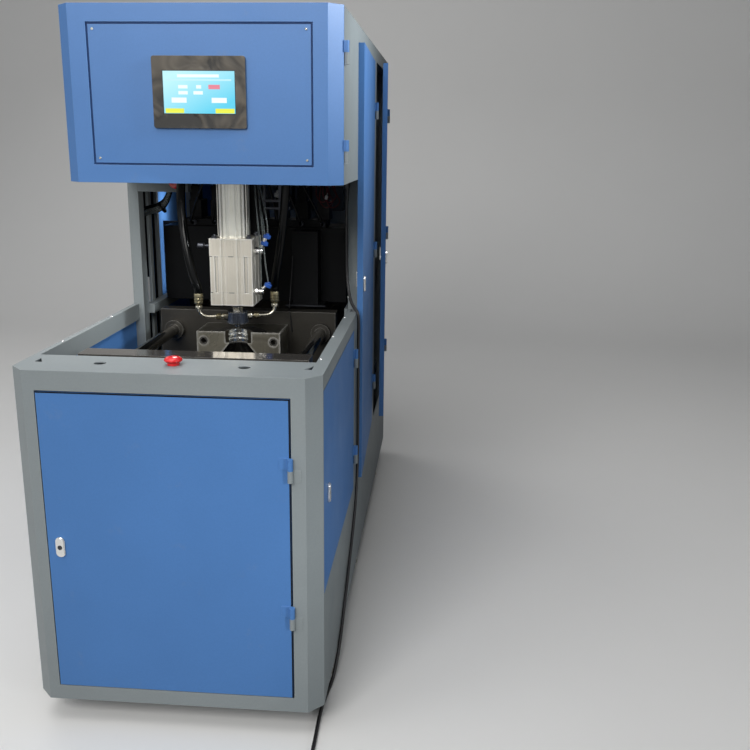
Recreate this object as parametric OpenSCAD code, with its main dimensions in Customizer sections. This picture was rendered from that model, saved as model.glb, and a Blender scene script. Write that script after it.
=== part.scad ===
// Semi-automatic stretch blow moulding machine with one mould station.
// X runs across the machine, Y runs from its front to its back and Z is up.
// The origin is on the floor, at the middle of the machine's box without its free cable.

/* [Cabinet] */
// Overall width over the flat sides
body_w = 610; // [500:5:800]
// Overall depth of the housing
body_l = 1787; // [1500:1:2200]
// Height of the head's top sheet
top_z = 1475; // [1350:1:1700]
// Width of the bevel on the front corners
bevel = 30; // [10:1:50]
// Thickness of the grey and blue steel sheet
sheet = 3; // [1.5:0.5:4]
// Gap between the floor and the housing
foot_h = 55; // [30:1:100]
// Height of the base's top plate
base_z = 772; // [700:1:850]
// Height of the grey skirt's upper edge
skirt_z = 308; // [200:1:400]
// Depth of the base's top plate
top_plate_l = 126; // [60:1:160]

/* [Head] */
// Distance from the base's front to the head's front
head_y = 342; // [250:1:450]
// Height of the head's lower edge
head_z = 1109; // [1000:1:1200]
// Strip of the head below the control panel
panel_low = 40; // [25:1:60]
// Strip of the head above the control panel
panel_high = 39; // [25:1:60]
// Width of the screen's bezel
bezel_w = 200.5; // [150:0.5:300]
// Height of the screen's bezel
bezel_h = 146.5; // [100:0.5:200]
// Width of the lit screen
screen_w = 154; // [100:1:220]
// Height of the lit screen
screen_h = 86; // [60:1:140]

/* [Doors] */
// Width of the front door
door_w = 495; // [400:1:540]
// Height of the front door
door_h = 641; // [500:1:680]
// Depth of the doors' folded edges
door_fold = 15; // [8:1:25]
// Gap round a door
door_gap = 2; // [1:0.5:4]
// Opening of the forward cabinet door at rest, in degrees
ajar_1 = 1.6; // [0:0.1:5]
// Opening of the rear cabinet door at rest, in degrees
ajar_2 = 4; // [0:0.1:8]
// Radius of a hinge knuckle
knuckle_r = 5.5; // [4:0.5:8]
// Radius of a hinge pin
hinge_pin_r = 2.5; // [1.5:0.1:3.5]
// Radial play of a hinge pin in its knuckle
hinge_play = 0.05; // [0.02:0.01:0.1]

/* [Mould and clamp] */
// Distance from the base's front to the blow axis
blow_y = 634; // [560:1:700]
// Width of a mould half
mould_w = 220; // [160:1:300]
// Depth of a mould half
mould_t = 116; // [90:1:150]
// Height of a mould half
mould_h = 306; // [240:1:330]
// Height of the mould's top face
mould_z = 720; // [680:1:740]
// Radius of the bottle cavity
bottle_r = 72; // [40:1:85]
// Radius of the neck opening
neck_r = 24; // [15:0.5:30]
// Opening stroke of the front mould half
stroke = 253; // [150:1:300]
// Thickness of a platen
platen_t = 45; // [30:1:60]
// Thickness of the moving platen
moving_t = 55; // [40:1:75]
// Height of the platens' top
platen_z = 755; // [730:1:765]
// Radius of a tie bar
bar_r = 15; // [10:0.5:22]
// Tie bars in from the sides of the body
bar_in = 104; // [90:1:150]
// Height of the upper tie bars
bar_z = 700; // [650:1:720]
// Height drop to the lower tie bars
bar_drop = 230; // [180:1:270]
// Radial play of the tie bars and rods in their bushes
slide_play = 0.06; // [0.02:0.01:0.1]

/* [Blow head] */
// Width of the seal cylinder
seal_w = 108; // [80:1:130]
// Height of the seal cylinder's lower face
seal_z = 799; // [780:1:850]
// Height of the seal cylinder
seal_h = 167; // [120:1:220]
// Width of the stretch cylinder
stretch_w = 64; // [40:1:80]
// Radius of the stretch rod
stretch_r = 7; // [4:0.5:10]
// Radius of the seal nozzle
nozzle_r = 29; // [20:0.5:35]
// Outer radius of the air hoses
hose_r = 11; // [8:0.5:14]

/* [Cable] */
// Radius of the free cable
cable_r = 4; // [3:0.5:6]
// Radius of the coil at the middle of its turns
coil_r = 46; // [40:1:60]

/* [Hidden] */
$fn = 48;
fuse = 0.5;
half = body_w / 2;
blue = [0.33, 0.52, 0.77];
grey = [0.54, 0.57, 0.56];
black = [0.05, 0.05, 0.055];
steel = [0.62, 0.61, 0.58];
dark_steel = [0.2, 0.2, 0.2];

// Front door and its opening
door_x0 = -half + 55;
door_z0 = 89;
door_x1 = door_x0 + door_w;
door_z1 = door_z0 + door_h;
lip = 2;

// Head
cover_l = 34;
side_y = head_y + cover_l + door_gap;
panel_x0 = -half + 70;
panel_w = body_w - 133;
panel_z0 = head_z + panel_low;
panel_h = top_z - panel_high - panel_z0;
panel_mid_z = panel_z0 + panel_h / 2 + 5.5;
screen_x = 2;

// Frame members
tube = 25;
col_y = 725;
col_l = 40;
col_out = half - sheet;
in_x = col_out - tube;
belt_x = in_x + 10;
belt_z = 739;
right_rail_end = 686;
rail_w = 27;
left_rail_w = 13;
rail_h = 33;
left_rail_h = 43;
top_rail_h = 36;
post_1_y = body_l - 580;
post_1_l = 50;
post_2_l = 32;
post_2_y = body_l - sheet - post_2_l;
front_post_y = 614;
front_post_l = 72;
door_1_y = 690;
base_panel_y = 38;
top_rail_z = top_z - top_rail_h - sheet;
door_top = top_rail_z - 2;
tube_w = 40;
tube_ys = [60, 560, body_l - 657, body_l - 287];
mid_z = 345;
ring_z = foot_h + sheet;

// Hinges
hinge_x = half + knuckle_r;
knuckle_h = 24;
leaf_t = 1.5;
leaf_w = 20;
hinge_gap = 0.3;
front_hinge = [door_x1 + 1, -knuckle_r - leaf_t / 2];
head_hinge_y = side_y - 1;
side_hinge_y = front_post_y - 2;
door_1_hinge_y = post_1_y - 1;
door_2_hinge_y = post_2_y - 1;

// Feet
foot_x = half - 30;
foot_ys = [235, 800, body_l - 267];

// Clamp
half_y = blow_y + mould_t;
fixed_y = half_y;
front_half_y = blow_y - stroke;
moving_y = front_half_y - mould_t - moving_t;
bar_x = half - bar_in;
fixed_w = body_w - 130;
moving_w = body_w - 110;
bed_z = 400;
bed_t = 15;
bed_y0 = 150;
platen_foot = 5;
mould_z0 = mould_z - mould_h;
cyl_r = 72;
cyl_y = fixed_y + platen_t;
cyl_l = stroke + 20;
rod_r = 20;
rod_z = bar_z - bar_drop / 2;
head_y0 = cyl_y + cyl_l + 22;
bar_y0 = moving_y - 20;
bar_y1 = head_y0 + platen_t + 20;
bed_y1 = bar_y1 + stroke + 12;
ring_h = 29;
ring_w = 10;
ring_top = mould_z + 4;
plug_r = 50;
plug_z = mould_z0 + 35;
pin_r = 7;
pin_x = 92;
pin_out = 24;
bush_w = 4;

// Blow head
seal_y = blow_y - seal_w / 2;
shank_r = 11;
nozzle_z = 743;
nozzle_h = 34;
nozzle_flat = 25;
nozzle_turn = 18;
nut_h = 11;
nut_r = 14;
seal_top = seal_z + seal_h;
stretch_top = 1440;
fitting_z = 763.5;
plate_z = 1180;
plate_t = 15;
plate_y = body_l - 72;
plate_low = 560;
plate_h = 590;
switch_x = half - 105;

// Valve box and the block in front of it
valve_y = 862;
valve_l = 139;
valve_h = 206;
regulator_x = 151;
regulator_w = 70;
regulator_l = 62;

// The rear door's lock reaches furthest to the right, which sets the middle of the box
lock_out = 5.7;
grip_r = 9.5;
door_lock_in = 22;
lock_arm = door_2_hinge_y - post_1_y - post_1_l - door_lock_in + grip_r - 1.5;
far_x = hinge_x + (lock_out - knuckle_r) * cos(ajar_2) + lock_arm * sin(ajar_2);
origin_x = (far_x - half) / 2;
origin_y = (body_l + front_hinge[1] - knuckle_r) / 2;

// Hinge heights
front_hinge_zs = [door_z0 + 161, door_z1 - 165];
head_hinge_zs = [head_z + 47, top_z - 117];
side_hinge_zs = [skirt_z + 72, base_z - 132];
cabinet_hinge_zs = [skirt_z + 112, 850, top_z - 207];

// Stop buttons
button_x = 2;
button_y = 74;
button_r = 18;
button_stem_r = 12;
button_hole_r = button_stem_r + 0.3;
button_sunk = 21;
upper_x = 165;
upper_z = 1097;

// Locks
lock_shaft_r = 6;
front_lock_x = door_x0 + 26;
front_lock_z = 406;
side_lock_y = 96;
side_lock_z = 507;
door_lock_z = 842;

// Guide pins
pin_zs = [mould_z - 25, mould_z0 + 30];
bush_l = 32;

// Hoses, pipes and air controls
hose_top_x = 131;
ferrule_r = 97;
ferrule_x = ferrule_r * cos(nozzle_turn);
ferrule_y = ferrule_r * sin(nozzle_turn);
ferrule_z0 = 790;
ferrule_z1 = 825;
hose_seat = 0.2;
hose_route = [[ferrule_x, ferrule_y, ferrule_z1 + hose_seat], [ferrule_x, ferrule_y, ferrule_z1 + 6],
  [ferrule_x, ferrule_y, ferrule_z1 + 14], [96, 28, 865], [104, 25, 908], [114, 18, 963],
  [124, 9, 1033], [hose_top_x, 0, 1095], [hose_top_x, 0, 1130],
  [hose_top_x, 0, plate_z - 26], [hose_top_x, 0, plate_z - 16]];
elbow_route = [[nozzle_flat, 0, fitting_z], [50, 0, fitting_z], [72, 0, fitting_z],
  [85, 0, fitting_z + 3], [94, 0, fitting_z + 11], [ferrule_r, 0, fitting_z + 20],
  [ferrule_r, 0, ferrule_z0 + 2]];
controller_zs = [[934, 84], [832, 90]];
controller_y = blow_y - 20;

// Air tank
tank_r = 115;
tank_l = half - 90;
tank_y = body_l - 187;
tank_z = 222;

// Screen
bezel_out = 6;
screen_depth = 2;

// Free cable: down the right column, over the rail, along the post and to the floor in front
coil_x = 235;
coil_y = -150;
coil_pitch = 2 * cable_r + 0.3;
tail_x = coil_x + coil_r + coil_pitch;
tail_z = 12.5;
plug_l = 40;
plug_gap = 62;
cable_points = [[275, 705, 1097], [275, 705, 1000], [275.5, 704, 920], [277, 699, 870],
  [282, 686, 830], [291, 670, 801], [302, 658, 785], [310, 651, 774], [312.5, 649, 750],
  [312, 650, 700], [312, 651, 620], [312, 651, 520], [312, 650, 430], [312, 645, 365],
  [312, 628, 312], [312, 596, 268], [311.5, 540, 222], [311, 470, 176], [311, 390, 132],
  [310.5, 310, 86], [310, 262, 62], [308, 235, 43], [303, 195, 14], [296, 150, 4.5],
  [291, 100, 4.2], [290, 50, 4.2], [291, 0, 4.2], [291.5, -43, 4.2], [291, -105, 4.2],
  [tail_x, coil_y, 4.2]];

// Placing and simple solids
module place() {
  translate([-origin_x, -origin_y, 0])
    children();
}

module box(x0, x1, y0, y1, z0, z1) {
  translate([x0, y0, z0])
    cube([x1 - x0, y1 - y0, z1 - z0]);
}

module rod_z(x, y, z0, z1, r) {
  translate([x, y, z0])
    cylinder(h = z1 - z0, r = r);
}

module rod_y(x, z, y0, y1, r) {
  translate([x, y0, z])
    rotate([-90, 0, 0])
      cylinder(h = y1 - y0, r = r);
}

module rod_x(y, z, x0, x1, r) {
  translate([x0, y, z])
    rotate([0, 90, 0])
      cylinder(h = x1 - x0, r = r);
}

module both_sides() {
  children();
  mirror([1, 0, 0])
    children();
}

// Plan view of the bevelled front, as deep as back
module front_plan(back) {
  polygon([[-half, back], [-half, bevel], [-half + bevel, 0],
    [half - bevel, 0], [half, bevel], [half, back]]);
}

// Sheet bent round the bevelled front
module bent_sheet(back, t, z0, z1) {
  translate([0, 0, z0])
    linear_extrude(z1 - z0)
      difference() {
        front_plan(back);
        offset(delta = -t)
          front_plan(back + 3 * t);
      }
}

// Rows of long cooling slots cut through a sheet whose face looks along X
module side_slots(x, y0, z0, rows) {
  for (i = [0 : rows - 1])
    box(x - 10, x + 10, y0, y0 + 120, z0 + 22 * i, z0 + 22 * i + 8);
}

// Curves and tubes along a list of points
function unit(v) = v / norm(v);
function curve_point(a, b, c, d, t) = 0.5 * ((2 * b) + (c - a) * t
  + (2 * a - 5 * b + 4 * c - d) * t * t + (3 * b - a - 3 * c + d) * t * t * t);
function curve(p, n) = let(last = len(p) - 1) [
  for (i = [0 : last - 1])
    for (k = [0 : n - 1])
      curve_point(p[max(i - 1, 0)], p[i], p[i + 1], p[min(i + 2, last)], k / n),
  p[last]];
function tangents(q) = let(last = len(q) - 1)
  [for (i = [0 : last]) unit(q[min(i + 1, last)] - q[max(i - 1, 0)])];
function carried(ts, i, ref) = i >= len(ts) ? [] :
  let(r = unit(ref - (ref * ts[i]) * ts[i])) concat([r], carried(ts, i + 1, r));

module tube_along(q, r, sides, start) {
  ts = tangents(q);
  us = carried(ts, 0, start);
  n = len(q);
  rings = [for (i = [0 : n - 1]) let(v = cross(ts[i], us[i]))
    for (k = [0 : sides - 1])
      q[i] + r * cos(360 * k / sides) * us[i] + r * sin(360 * k / sides) * v];
  walls = [for (i = [0 : n - 2])
    for (k = [0 : sides - 1])
      let(a = i * sides + k, b = i * sides + (k + 1) % sides)
        for (f = [[a, a + sides, b], [b, a + sides, b + sides]]) f];
  start_cap = [for (k = [0 : sides - 1]) k];
  end_cap = [for (k = [sides - 1 : -1 : 0]) (n - 1) * sides + k];
  polyhedron(concat(rings, [for (f = walls) f], [])
    , concat(walls, [start_cap, end_cap]));
}

// Base, frame and housing
module base_front() {
  door_right = door_x1 + door_gap;
  door_left = door_x0 - door_gap;
  door_low = door_z0 - door_gap;
  door_high = door_z1 + door_gap;
  color(grey) place() {
    difference() {
      union() {
        bent_sheet(bevel + 6, sheet, foot_h, base_z);
        top_plate();
        translate([0, 0, foot_h])
          linear_extrude(sheet)
            intersection() {
              front_plan(bevel + 6);
              translate([-half, 0])
                square([body_w, bevel + 6]);
            }
        box(door_left - lip, door_right + lip, 1, door_fold + 0.5,
          door_low - lip, door_high + lip);
      }
      box(door_left, door_right, -5, 60, door_low, door_high);
    }
  }
}

module top_plate() {
  difference() {
    union() {
      translate([0, 0, base_z - sheet])
        linear_extrude(sheet)
          front_plan(top_plate_l);
      box(-half + 40, half - 40, top_plate_l - sheet, top_plate_l, base_z - 30, base_z);
      both_sides()
        box(half - sheet, half, bevel + 5, top_plate_l, base_z - rail_h, base_z);
    }
    rod_z(button_x, button_y, base_z - 10, base_z + 10, button_hole_r);
    both_sides() {
      rod_z(145, 70, base_z - 10, base_z + 10, 12);
      translate([half - 43, 67, base_z - sheet - 1])
        linear_extrude(sheet + 2)
          polygon([[0, 0], [16, 0], [16, 31]]);
    }
  }
}

module base_frame() {
  color(grey) place() {
    for (y = tube_ys) {
      box(-col_out + tube_w, col_out - tube_w, y, y + tube_w, ring_z, ring_z + tube_w);
      box(-in_x + tube_w, in_x - tube_w, y, y + tube_w, mid_z, mid_z + tube_w);
    }
    both_sides() {
      box(col_out - tube_w, col_out, 60, post_2_y, ring_z, ring_z + tube_w);
      box(in_x - tube_w, in_x, 60, post_2_y, mid_z, mid_z + tube_w);
      for (y = tube_ys)
        box(in_x - 15, in_x, y, y + tube_w, ring_z + tube_w - fuse, mid_z + fuse);
    }
  }
}

module side_rails() {
  rail_z = base_z - rail_h;
  color(grey) place() {
    difference() {
      box(half - rail_w, half, top_plate_l, right_rail_end, rail_z, base_z);
      box(half - rail_w + sheet, half - sheet, top_plate_l - 5, right_rail_end - sheet,
        rail_z + sheet, base_z - sheet);
    }
    box(in_x, belt_x, right_rail_end - fuse, col_y, rail_z, base_z);
    box(-half, -half + left_rail_w, top_plate_l, col_y, base_z - left_rail_h, base_z);
  }
}

module lower_skirts() {
  color(grey) place()
    both_sides() {
      box(half - sheet, half, bevel + 6, body_l - sheet, foot_h, skirt_z);
      box(half - sheet - 15, half - sheet + fuse, bevel + 6, body_l - sheet, foot_h, ring_z);
    }
}

module columns() {
  color(grey) place()
    both_sides()
      box(in_x, col_out, col_y, col_y + col_l, ring_z + tube_w, top_rail_z);
}

module cabinet_frame() {
  arm_z = head_z + sheet;
  rear_y = body_l - sheet;
  color(grey) place() {
    both_sides() {
      box(in_x, half, door_1_y, rear_y, top_rail_z, top_z - sheet);
      box(in_x, half, post_1_y, post_1_y + post_1_l, skirt_z, top_rail_z + fuse);
      box(in_x, col_out, post_2_y, rear_y, ring_z, top_rail_z + fuse);
      box(in_x, half, post_2_y, rear_y, skirt_z, top_rail_z + fuse);
      box(in_x, col_out, side_y, door_1_y + fuse, top_z - sheet - tube, top_z - sheet);
      box(in_x, col_out, side_y + 10, side_y + 10 + tube, arm_z, top_z - sheet - tube + fuse);
      box(in_x - 15, belt_x, side_y + 20, col_y, arm_z, arm_z + tube);
      box(belt_x - tube, belt_x, col_y + col_l, post_1_y, belt_z, belt_z + tube);
    }
    for (z = [ring_z, top_z - sheet - tube])
      box(-in_x - fuse, in_x + fuse, post_2_y, rear_y, z, z + tube);
    upper_bracket();
  }
  color(grey) place() {
    box(in_x, half, front_post_y, front_post_y + front_post_l, skirt_z, base_z - rail_h);
    box(-half, -col_out, col_y, col_y + col_l + 1, skirt_z, top_rail_z);
  }
}

module upper_bracket() {
  box(-in_x, -upper_x + 22, col_y, col_y + 30, upper_z - 28, head_z + 24);
  box(-upper_x - 22, -upper_x + 22, col_y - sheet, col_y + fuse, upper_z - 25, head_z + 24);
}

module cabinet_top() {
  color(grey) place()
    difference() {
      box(-half, half, side_y, body_l - sheet, top_z - sheet, top_z);
      for (x = [-160 : 40 : 160])
        box(x - 5, x + 5, body_l - 467, body_l - 327, top_z - 10, top_z + 5);
    }
}

module rear_panel() {
  color(grey) place()
    difference() {
      box(-half, half, body_l - sheet, body_l, foot_h, top_z);
      for (i = [0 : 11])
        for (x = [-200, -65, 70])
          box(x, x + 120, body_l - 10, body_l + 5, 1180 + 18 * i, 1186 + 18 * i);
      for (x = [-half + 15, half - 15])
        for (z = [foot_h + 25, 500, 980, top_z - 20])
          rod_y(x, z, body_l - 10, body_l + 5, 2.6);
    }
}

module left_panels() {
  color(blue) place()
    difference() {
      union() {
        box(-half, -col_out, base_panel_y, col_y, skirt_z, base_z - left_rail_h);
        left_sheet(col_y + col_l + 1, post_1_y);
        left_sheet(post_1_y + post_1_l, post_2_y);
      }
      side_slots(-half, post_1_y + post_1_l + 180, 1200, 9);
      side_slots(-half, 930, 1200, 9);
    }
}

module left_sheet(y0, y1) {
  box(-half, -col_out, y0, y1, skirt_z, top_rail_z);
  for (y = [y0, y1 - lip])
    box(-half, -half + door_fold, y, y + lip, skirt_z + 5, door_top);
}

module head_sides() {
  color(grey) place()
    both_sides() {
      box(half - sheet, half, side_y, door_1_y - 2, head_z, top_z - sheet);
      box(half - sheet - 16, half - sheet + 1, side_y, door_1_y - 2, head_z, head_z + sheet);
    }
}

// Hinges: the lower knuckle carries the pin and stays on the frame
module lower_knuckle(x, y, z) {
  rod_z(x, y, z, z + knuckle_h, knuckle_r);
  rod_z(x, y, z + knuckle_h - 1, z + 2 * knuckle_h - 4, hinge_pin_r);
}

module upper_knuckle(x, y, z) {
  difference() {
    rod_z(x, y, z + knuckle_h + hinge_gap, z + 2 * knuckle_h, knuckle_r);
    rod_z(x, y, z, z + 2 * knuckle_h - 3, hinge_pin_r + hinge_play);
  }
}

module frame_hinges() {
  color(grey) place() {
    for (z = front_hinge_zs) {
      lower_knuckle(front_hinge[0], front_hinge[1], z);
      box(front_hinge[0] + 1, front_hinge[0] + leaf_w, -leaf_t, 0, z, z + knuckle_h);
      box(front_hinge[0], front_hinge[0] + knuckle_r, front_hinge[1], 0, z, z + knuckle_h);
    }
    for (z = head_hinge_zs)
      side_leaf(head_hinge_y, z, 1);
    for (z = side_hinge_zs)
      side_leaf(side_hinge_y, z, 1);
    for (y = [door_1_hinge_y, door_2_hinge_y])
      for (z = cabinet_hinge_zs)
        side_leaf(y, z, 1);
  }
}

// Knuckle and leaf on the right side, with the leaf towards the back
module side_leaf(y, z, way) {
  lower_knuckle(hinge_x, y, z);
  side_leaf_plate(y, z, z + knuckle_h, way);
}

module side_leaf_plate(y, z0, z1, way) {
  far = y + way * leaf_w;
  box(half, half + leaf_t, min(y + way * 1, far), max(y + way * 1, far), z0, z1);
  box(half, hinge_x, y + (way > 0 ? 1 : -knuckle_r + 0.5), y + (way > 0 ? knuckle_r - 0.5 : -1),
    z0, z1);
}

module door_knuckle(y, z) {
  upper_knuckle(hinge_x, y, z);
  difference() {
    side_leaf_plate(y, z + knuckle_h + hinge_gap, z + 2 * knuckle_h, -1);
    rod_z(hinge_x, y, z, z + 3 * knuckle_h, knuckle_r - 1);
  }
}

module levelling_feet() {
  color(steel) place()
    both_sides()
      for (y = foot_ys) {
        rod_z(foot_x, y, 8, ring_z, 8);
        rod_z(foot_x, y, foot_h - 12, foot_h - 2, 13);
        translate([foot_x, y, 0])
          rotate_extrude()
            polygon([[0, 0], [22, 0], [23, 2], [23, 6], [17, 12], [10, 16], [0, 17]]);
      }
}

// Stop buttons

module mushroom(stem) {
  rotate_extrude()
    polygon([[0, 0], [0, stem + 11], [8, stem + 10.4], [13, stem + 9], [16.5, stem + 6.5],
      [button_r, stem + 4], [button_r, stem + 2], [button_r - 2, stem],
      [button_stem_r, stem - 1], [button_stem_r, 0]]);
}

module stop_block() {
  color(black) place() {
    difference() {
      rod_z(button_x, button_y, base_z - 40, base_z - sheet, 18);
      rod_z(button_x, button_y, base_z - button_sunk - 5, base_z, button_stem_r + slide_play);
    }
    difference() {
      rod_y(-upper_x, upper_z, col_y - sheet - 24, col_y - sheet, 18);
      rod_y(-upper_x, upper_z, col_y - sheet - 25, col_y - sheet - 4,
        button_stem_r + slide_play);
    }
  }
}

module stop_button() {
  color([0.85, 0.1, 0.1]) place()
    translate([button_x, button_y, base_z - button_sunk])
      mushroom(button_sunk + 7);
}

module upper_button() {
  color([0.85, 0.1, 0.1]) place()
    translate([-upper_x, col_y - sheet - 9, upper_z])
      rotate([90, 0, 0])
        mushroom(20);
}

// Clamp: the fixed half and its bed
module clamp_bed() {
  color(dark_steel) place() {
    difference() {
      box(-in_x + tube_w, in_x - tube_w, bed_y0, bed_y1, bed_z - bed_t, bed_z);
      box(-90, 90, 850, 1380, bed_z - 30, bed_z + 5);
    }
  }
}

module platen(w, y, t, z0) {
  box(-w / 2, w / 2, y, y + t, z0, platen_z);
}

module bar_holes(y0, y1, r) {
  for (z = [bar_z, bar_z - bar_drop])
    for (x = [-bar_x, bar_x])
      rod_y(x, z, y0, y1, r);
}

module fixed_platen() {
  color(dark_steel) place()
    difference() {
      union() {
        platen(fixed_w, fixed_y, platen_t, bed_z);
        both_sides()
          translate([fixed_w / 2 - 24, 0, 0])
            rotate([90, 0, 90])
              linear_extrude(12)
                polygon([[fixed_y + platen_t, bed_z], [fixed_y + platen_t + 150, bed_z],
                  [fixed_y + platen_t, bar_z - bar_drop + 180]]);
      }
      bar_holes(fixed_y - 5, fixed_y + platen_t + 200, bar_r + 0.4);
    }
}

module cavity() {
  translate([0, blow_y, 0])
    rotate_extrude()
      polygon([[0, mould_z0 - 5], [plug_r + 0.4, mould_z0 - 5], [plug_r + 0.4, plug_z],
        [bottle_r - 8, plug_z], [bottle_r, plug_z + 8], [bottle_r, mould_z - 150],
        [bottle_r - 3, mould_z - 146], [bottle_r - 3, mould_z - 138], [bottle_r, mould_z - 134],
        [bottle_r, mould_z - 104], [bottle_r - 5, mould_z - 92], [neck_r + 24, mould_z - 60],
        [neck_r, mould_z - ring_h - 1], [neck_r, mould_z - ring_h],
        [neck_r + ring_w, mould_z - ring_h], [neck_r + ring_w, mould_z + 5],
        [0, mould_z + 5]]);
}

module mould_half(y0) {
  difference() {
    box(-mould_w / 2, mould_w / 2, y0, y0 + mould_t, mould_z0, mould_z);
    for (z = [mould_z0 + 60, mould_z0 + 130, mould_z0 + 200])
      for (y = [y0 + mould_t / 2])
        both_sides()
          rod_x(y, z, mould_w / 2 - 14, mould_w / 2 + 5, 7);
  }
}

module rear_mould_half() {
  color(dark_steel) place()
    difference() {
      mould_half(blow_y);
      cavity();
      both_sides()
        for (z = pin_zs)
          rod_y(pin_x, z, blow_y - 5, blow_y + bush_l, pin_r + bush_w);
    }
}

module neck_half(front) {
  difference() {
    translate([0, blow_y, 0])
      rotate_extrude()
        polygon([[neck_r, mould_z - ring_h], [neck_r + ring_w, mould_z - ring_h],
          [neck_r + ring_w, ring_top], [neck_r, ring_top], [neck_r, ring_top - 6],
          [neck_r + 2, ring_top - 8], [neck_r + 2, ring_top - 11], [neck_r, ring_top - 13],
          [neck_r, ring_top - 18], [neck_r + 2, ring_top - 20],
          [neck_r + 2, ring_top - 23], [neck_r, ring_top - 25]]);
    translate([-100, front ? blow_y : blow_y - 200, 0])
      cube([200, 200, 1000]);
  }
}

module rear_neck_ring() {
  color([0.85, 0.85, 0.84]) place()
    neck_half(false);
}

module slide_bushes() {
  color(steel) place() {
    both_sides()
      for (z = pin_zs)
        difference() {
          rod_y(pin_x, z, blow_y, blow_y + bush_l, pin_r + bush_w);
          rod_y(pin_x, z, blow_y - 1, blow_y + bush_l + 1, pin_r + slide_play);
        }
    difference() {
      bar_holes(fixed_y - 16, fixed_y, bar_r + 11);
      bar_holes(fixed_y - 17, fixed_y + 1, bar_r + slide_play);
    }
  }
}

module base_plug() {
  color(steel) place()
    translate([0, blow_y, 0])
      rotate_extrude()
        polygon([[0, bed_z], [plug_r + 12, bed_z], [plug_r + 12, bed_z + 12], [plug_r, bed_z + 12],
          [plug_r, plug_z - 3], [plug_r - 14, plug_z - 3], [plug_r - 20, plug_z + 6],
          [0, plug_z + 9]]);
}

module clamp_cylinder() {
  color([0.75, 0.75, 0.74]) place()
    difference() {
      union() {
        rod_y(0, rod_z, cyl_y, cyl_y + cyl_l, cyl_r);
        for (y = [cyl_y, cyl_y + cyl_l - 28])
          box(-cyl_r - 6, cyl_r + 6, y, y + 28, rod_z - cyl_r - 6, rod_z + cyl_r + 6);
        for (x = [-cyl_r + 4, cyl_r - 4])
          for (z = [-cyl_r + 4, cyl_r - 4])
            rod_y(x, rod_z + z, cyl_y + 20, cyl_y + cyl_l + 8, 6);
      }
      rod_y(0, rod_z, cyl_y + 6, cyl_y + cyl_l + 20, rod_r + slide_play);
    }
}

// Clamp: the pieces that travel with the front mould half
module moving_platen() {
  color(dark_steel) place()
    difference() {
      platen(moving_w, moving_y, moving_t, bed_z + platen_foot);
      bar_holes(moving_y - 5, moving_y + moving_t + 5, bar_r);
    }
}

module front_mould_half() {
  color(dark_steel) place()
    difference() {
      mould_half(front_half_y - mould_t);
      translate([0, -stroke, 0])
        cavity();
      both_sides()
        for (z = pin_zs)
          rod_y(pin_x, z, front_half_y - bush_l, front_half_y + 5, pin_r);
    }
}

module front_neck_ring() {
  color([0.85, 0.85, 0.84]) place()
    translate([0, -stroke, 0]) {
      neck_half(true);
      difference() {
        union() {
          box(-45, 45, blow_y - 66, blow_y, mould_z, ring_top);
        }
        rod_z(0, blow_y, mould_z - 5, ring_top + 5, neck_r + ring_w - 0.5);
        for (x = [-36, 36])
          rod_z(x, blow_y - 52, mould_z - 5, ring_top + 5, 4);
      }
    }
}

module guide_pins() {
  color([0.7, 0.6, 0.45]) place()
    both_sides()
      for (z = pin_zs) {
        rod_y(pin_x, z, front_half_y - bush_l, front_half_y + pin_out - 5, pin_r);
        translate([pin_x, front_half_y + pin_out - 5.5, z])
          rotate([-90, 0, 0])
            cylinder(h = 5.5, r1 = pin_r, r2 = pin_r - 3);
      }
}

module tie_bars() {
  color(black) place()
    bar_holes(bar_y0, bar_y1, bar_r);
}

module tie_bar_nuts() {
  color(steel) place()
    for (span = [[bar_y0, moving_y], [head_y0 + platen_t, bar_y1]])
      for (z = [bar_z, bar_z - bar_drop])
        for (x = [-bar_x, bar_x])
          difference() {
            translate([x, span[0], z])
              rotate([-90, 0, 0])
                cylinder(h = span[1] - span[0], r = bar_r + 11, $fn = 6);
            rod_y(x, z, span[0] - 1, span[1] + 1, bar_r);
          }
}

module crosshead() {
  color(dark_steel) place()
    difference() {
      box(-moving_w / 2, moving_w / 2, head_y0, head_y0 + platen_t, bed_z + 30, bar_z + 38);
      bar_holes(head_y0 - 5, head_y0 + platen_t + 5, bar_r);
      both_sides()
        box(60, 150, head_y0 - 5, head_y0 + platen_t + 5, rod_z - 60, rod_z + 60);
    }
}

module clamp_rod() {
  color([0.8, 0.8, 0.8]) place() {
    rod_y(0, rod_z, cyl_y + 8, head_y0, rod_r);
    rod_y(0, rod_z, head_y0 - 14, head_y0, rod_r + 12);
  }
}

// Blow head
// Square profile with a pair of round grooves and a pair of narrow slots in each face
module profile(w, groove_x, groove_r, slot_x, slot_w) {
  difference() {
    square(w, center = true);
    for (a = [0 : 90 : 270])
      rotate(a) {
        for (x = [-groove_x, groove_x])
          translate([x, w / 2 + groove_r / 2])
            circle(r = groove_r);
        for (x = [-slot_x, slot_x])
          translate([x - slot_w / 2, w / 2 - 3])
            square([slot_w, 4]);
      }
  }
}

module seal_cylinder() {
  corner = seal_w / 2 - 13;
  color([0.74, 0.73, 0.7]) place()
    difference() {
      translate([0, blow_y, 0]) {
        for (span = [[seal_z, seal_z + 32], [seal_top - 44, seal_top]])
          translate([0, 0, span[0]])
            linear_extrude(span[1] - span[0])
              profile(seal_w, 20, 6, 0, 0);
        translate([0, 0, seal_z + 31])
          linear_extrude(seal_h - 74)
            profile(seal_w - 1, 20, 6, 37, 9);
      }
      rod_z(0, blow_y, seal_z - 5, seal_top - 8, shank_r + slide_play);
      rod_z(0, blow_y, seal_z, seal_top + 5, stretch_r + slide_play);
      for (x = [-corner, corner])
        for (y = [-corner, corner])
          rod_z(x, blow_y + y, seal_z - 5, seal_z + 8, 6);
    }
}

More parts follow.
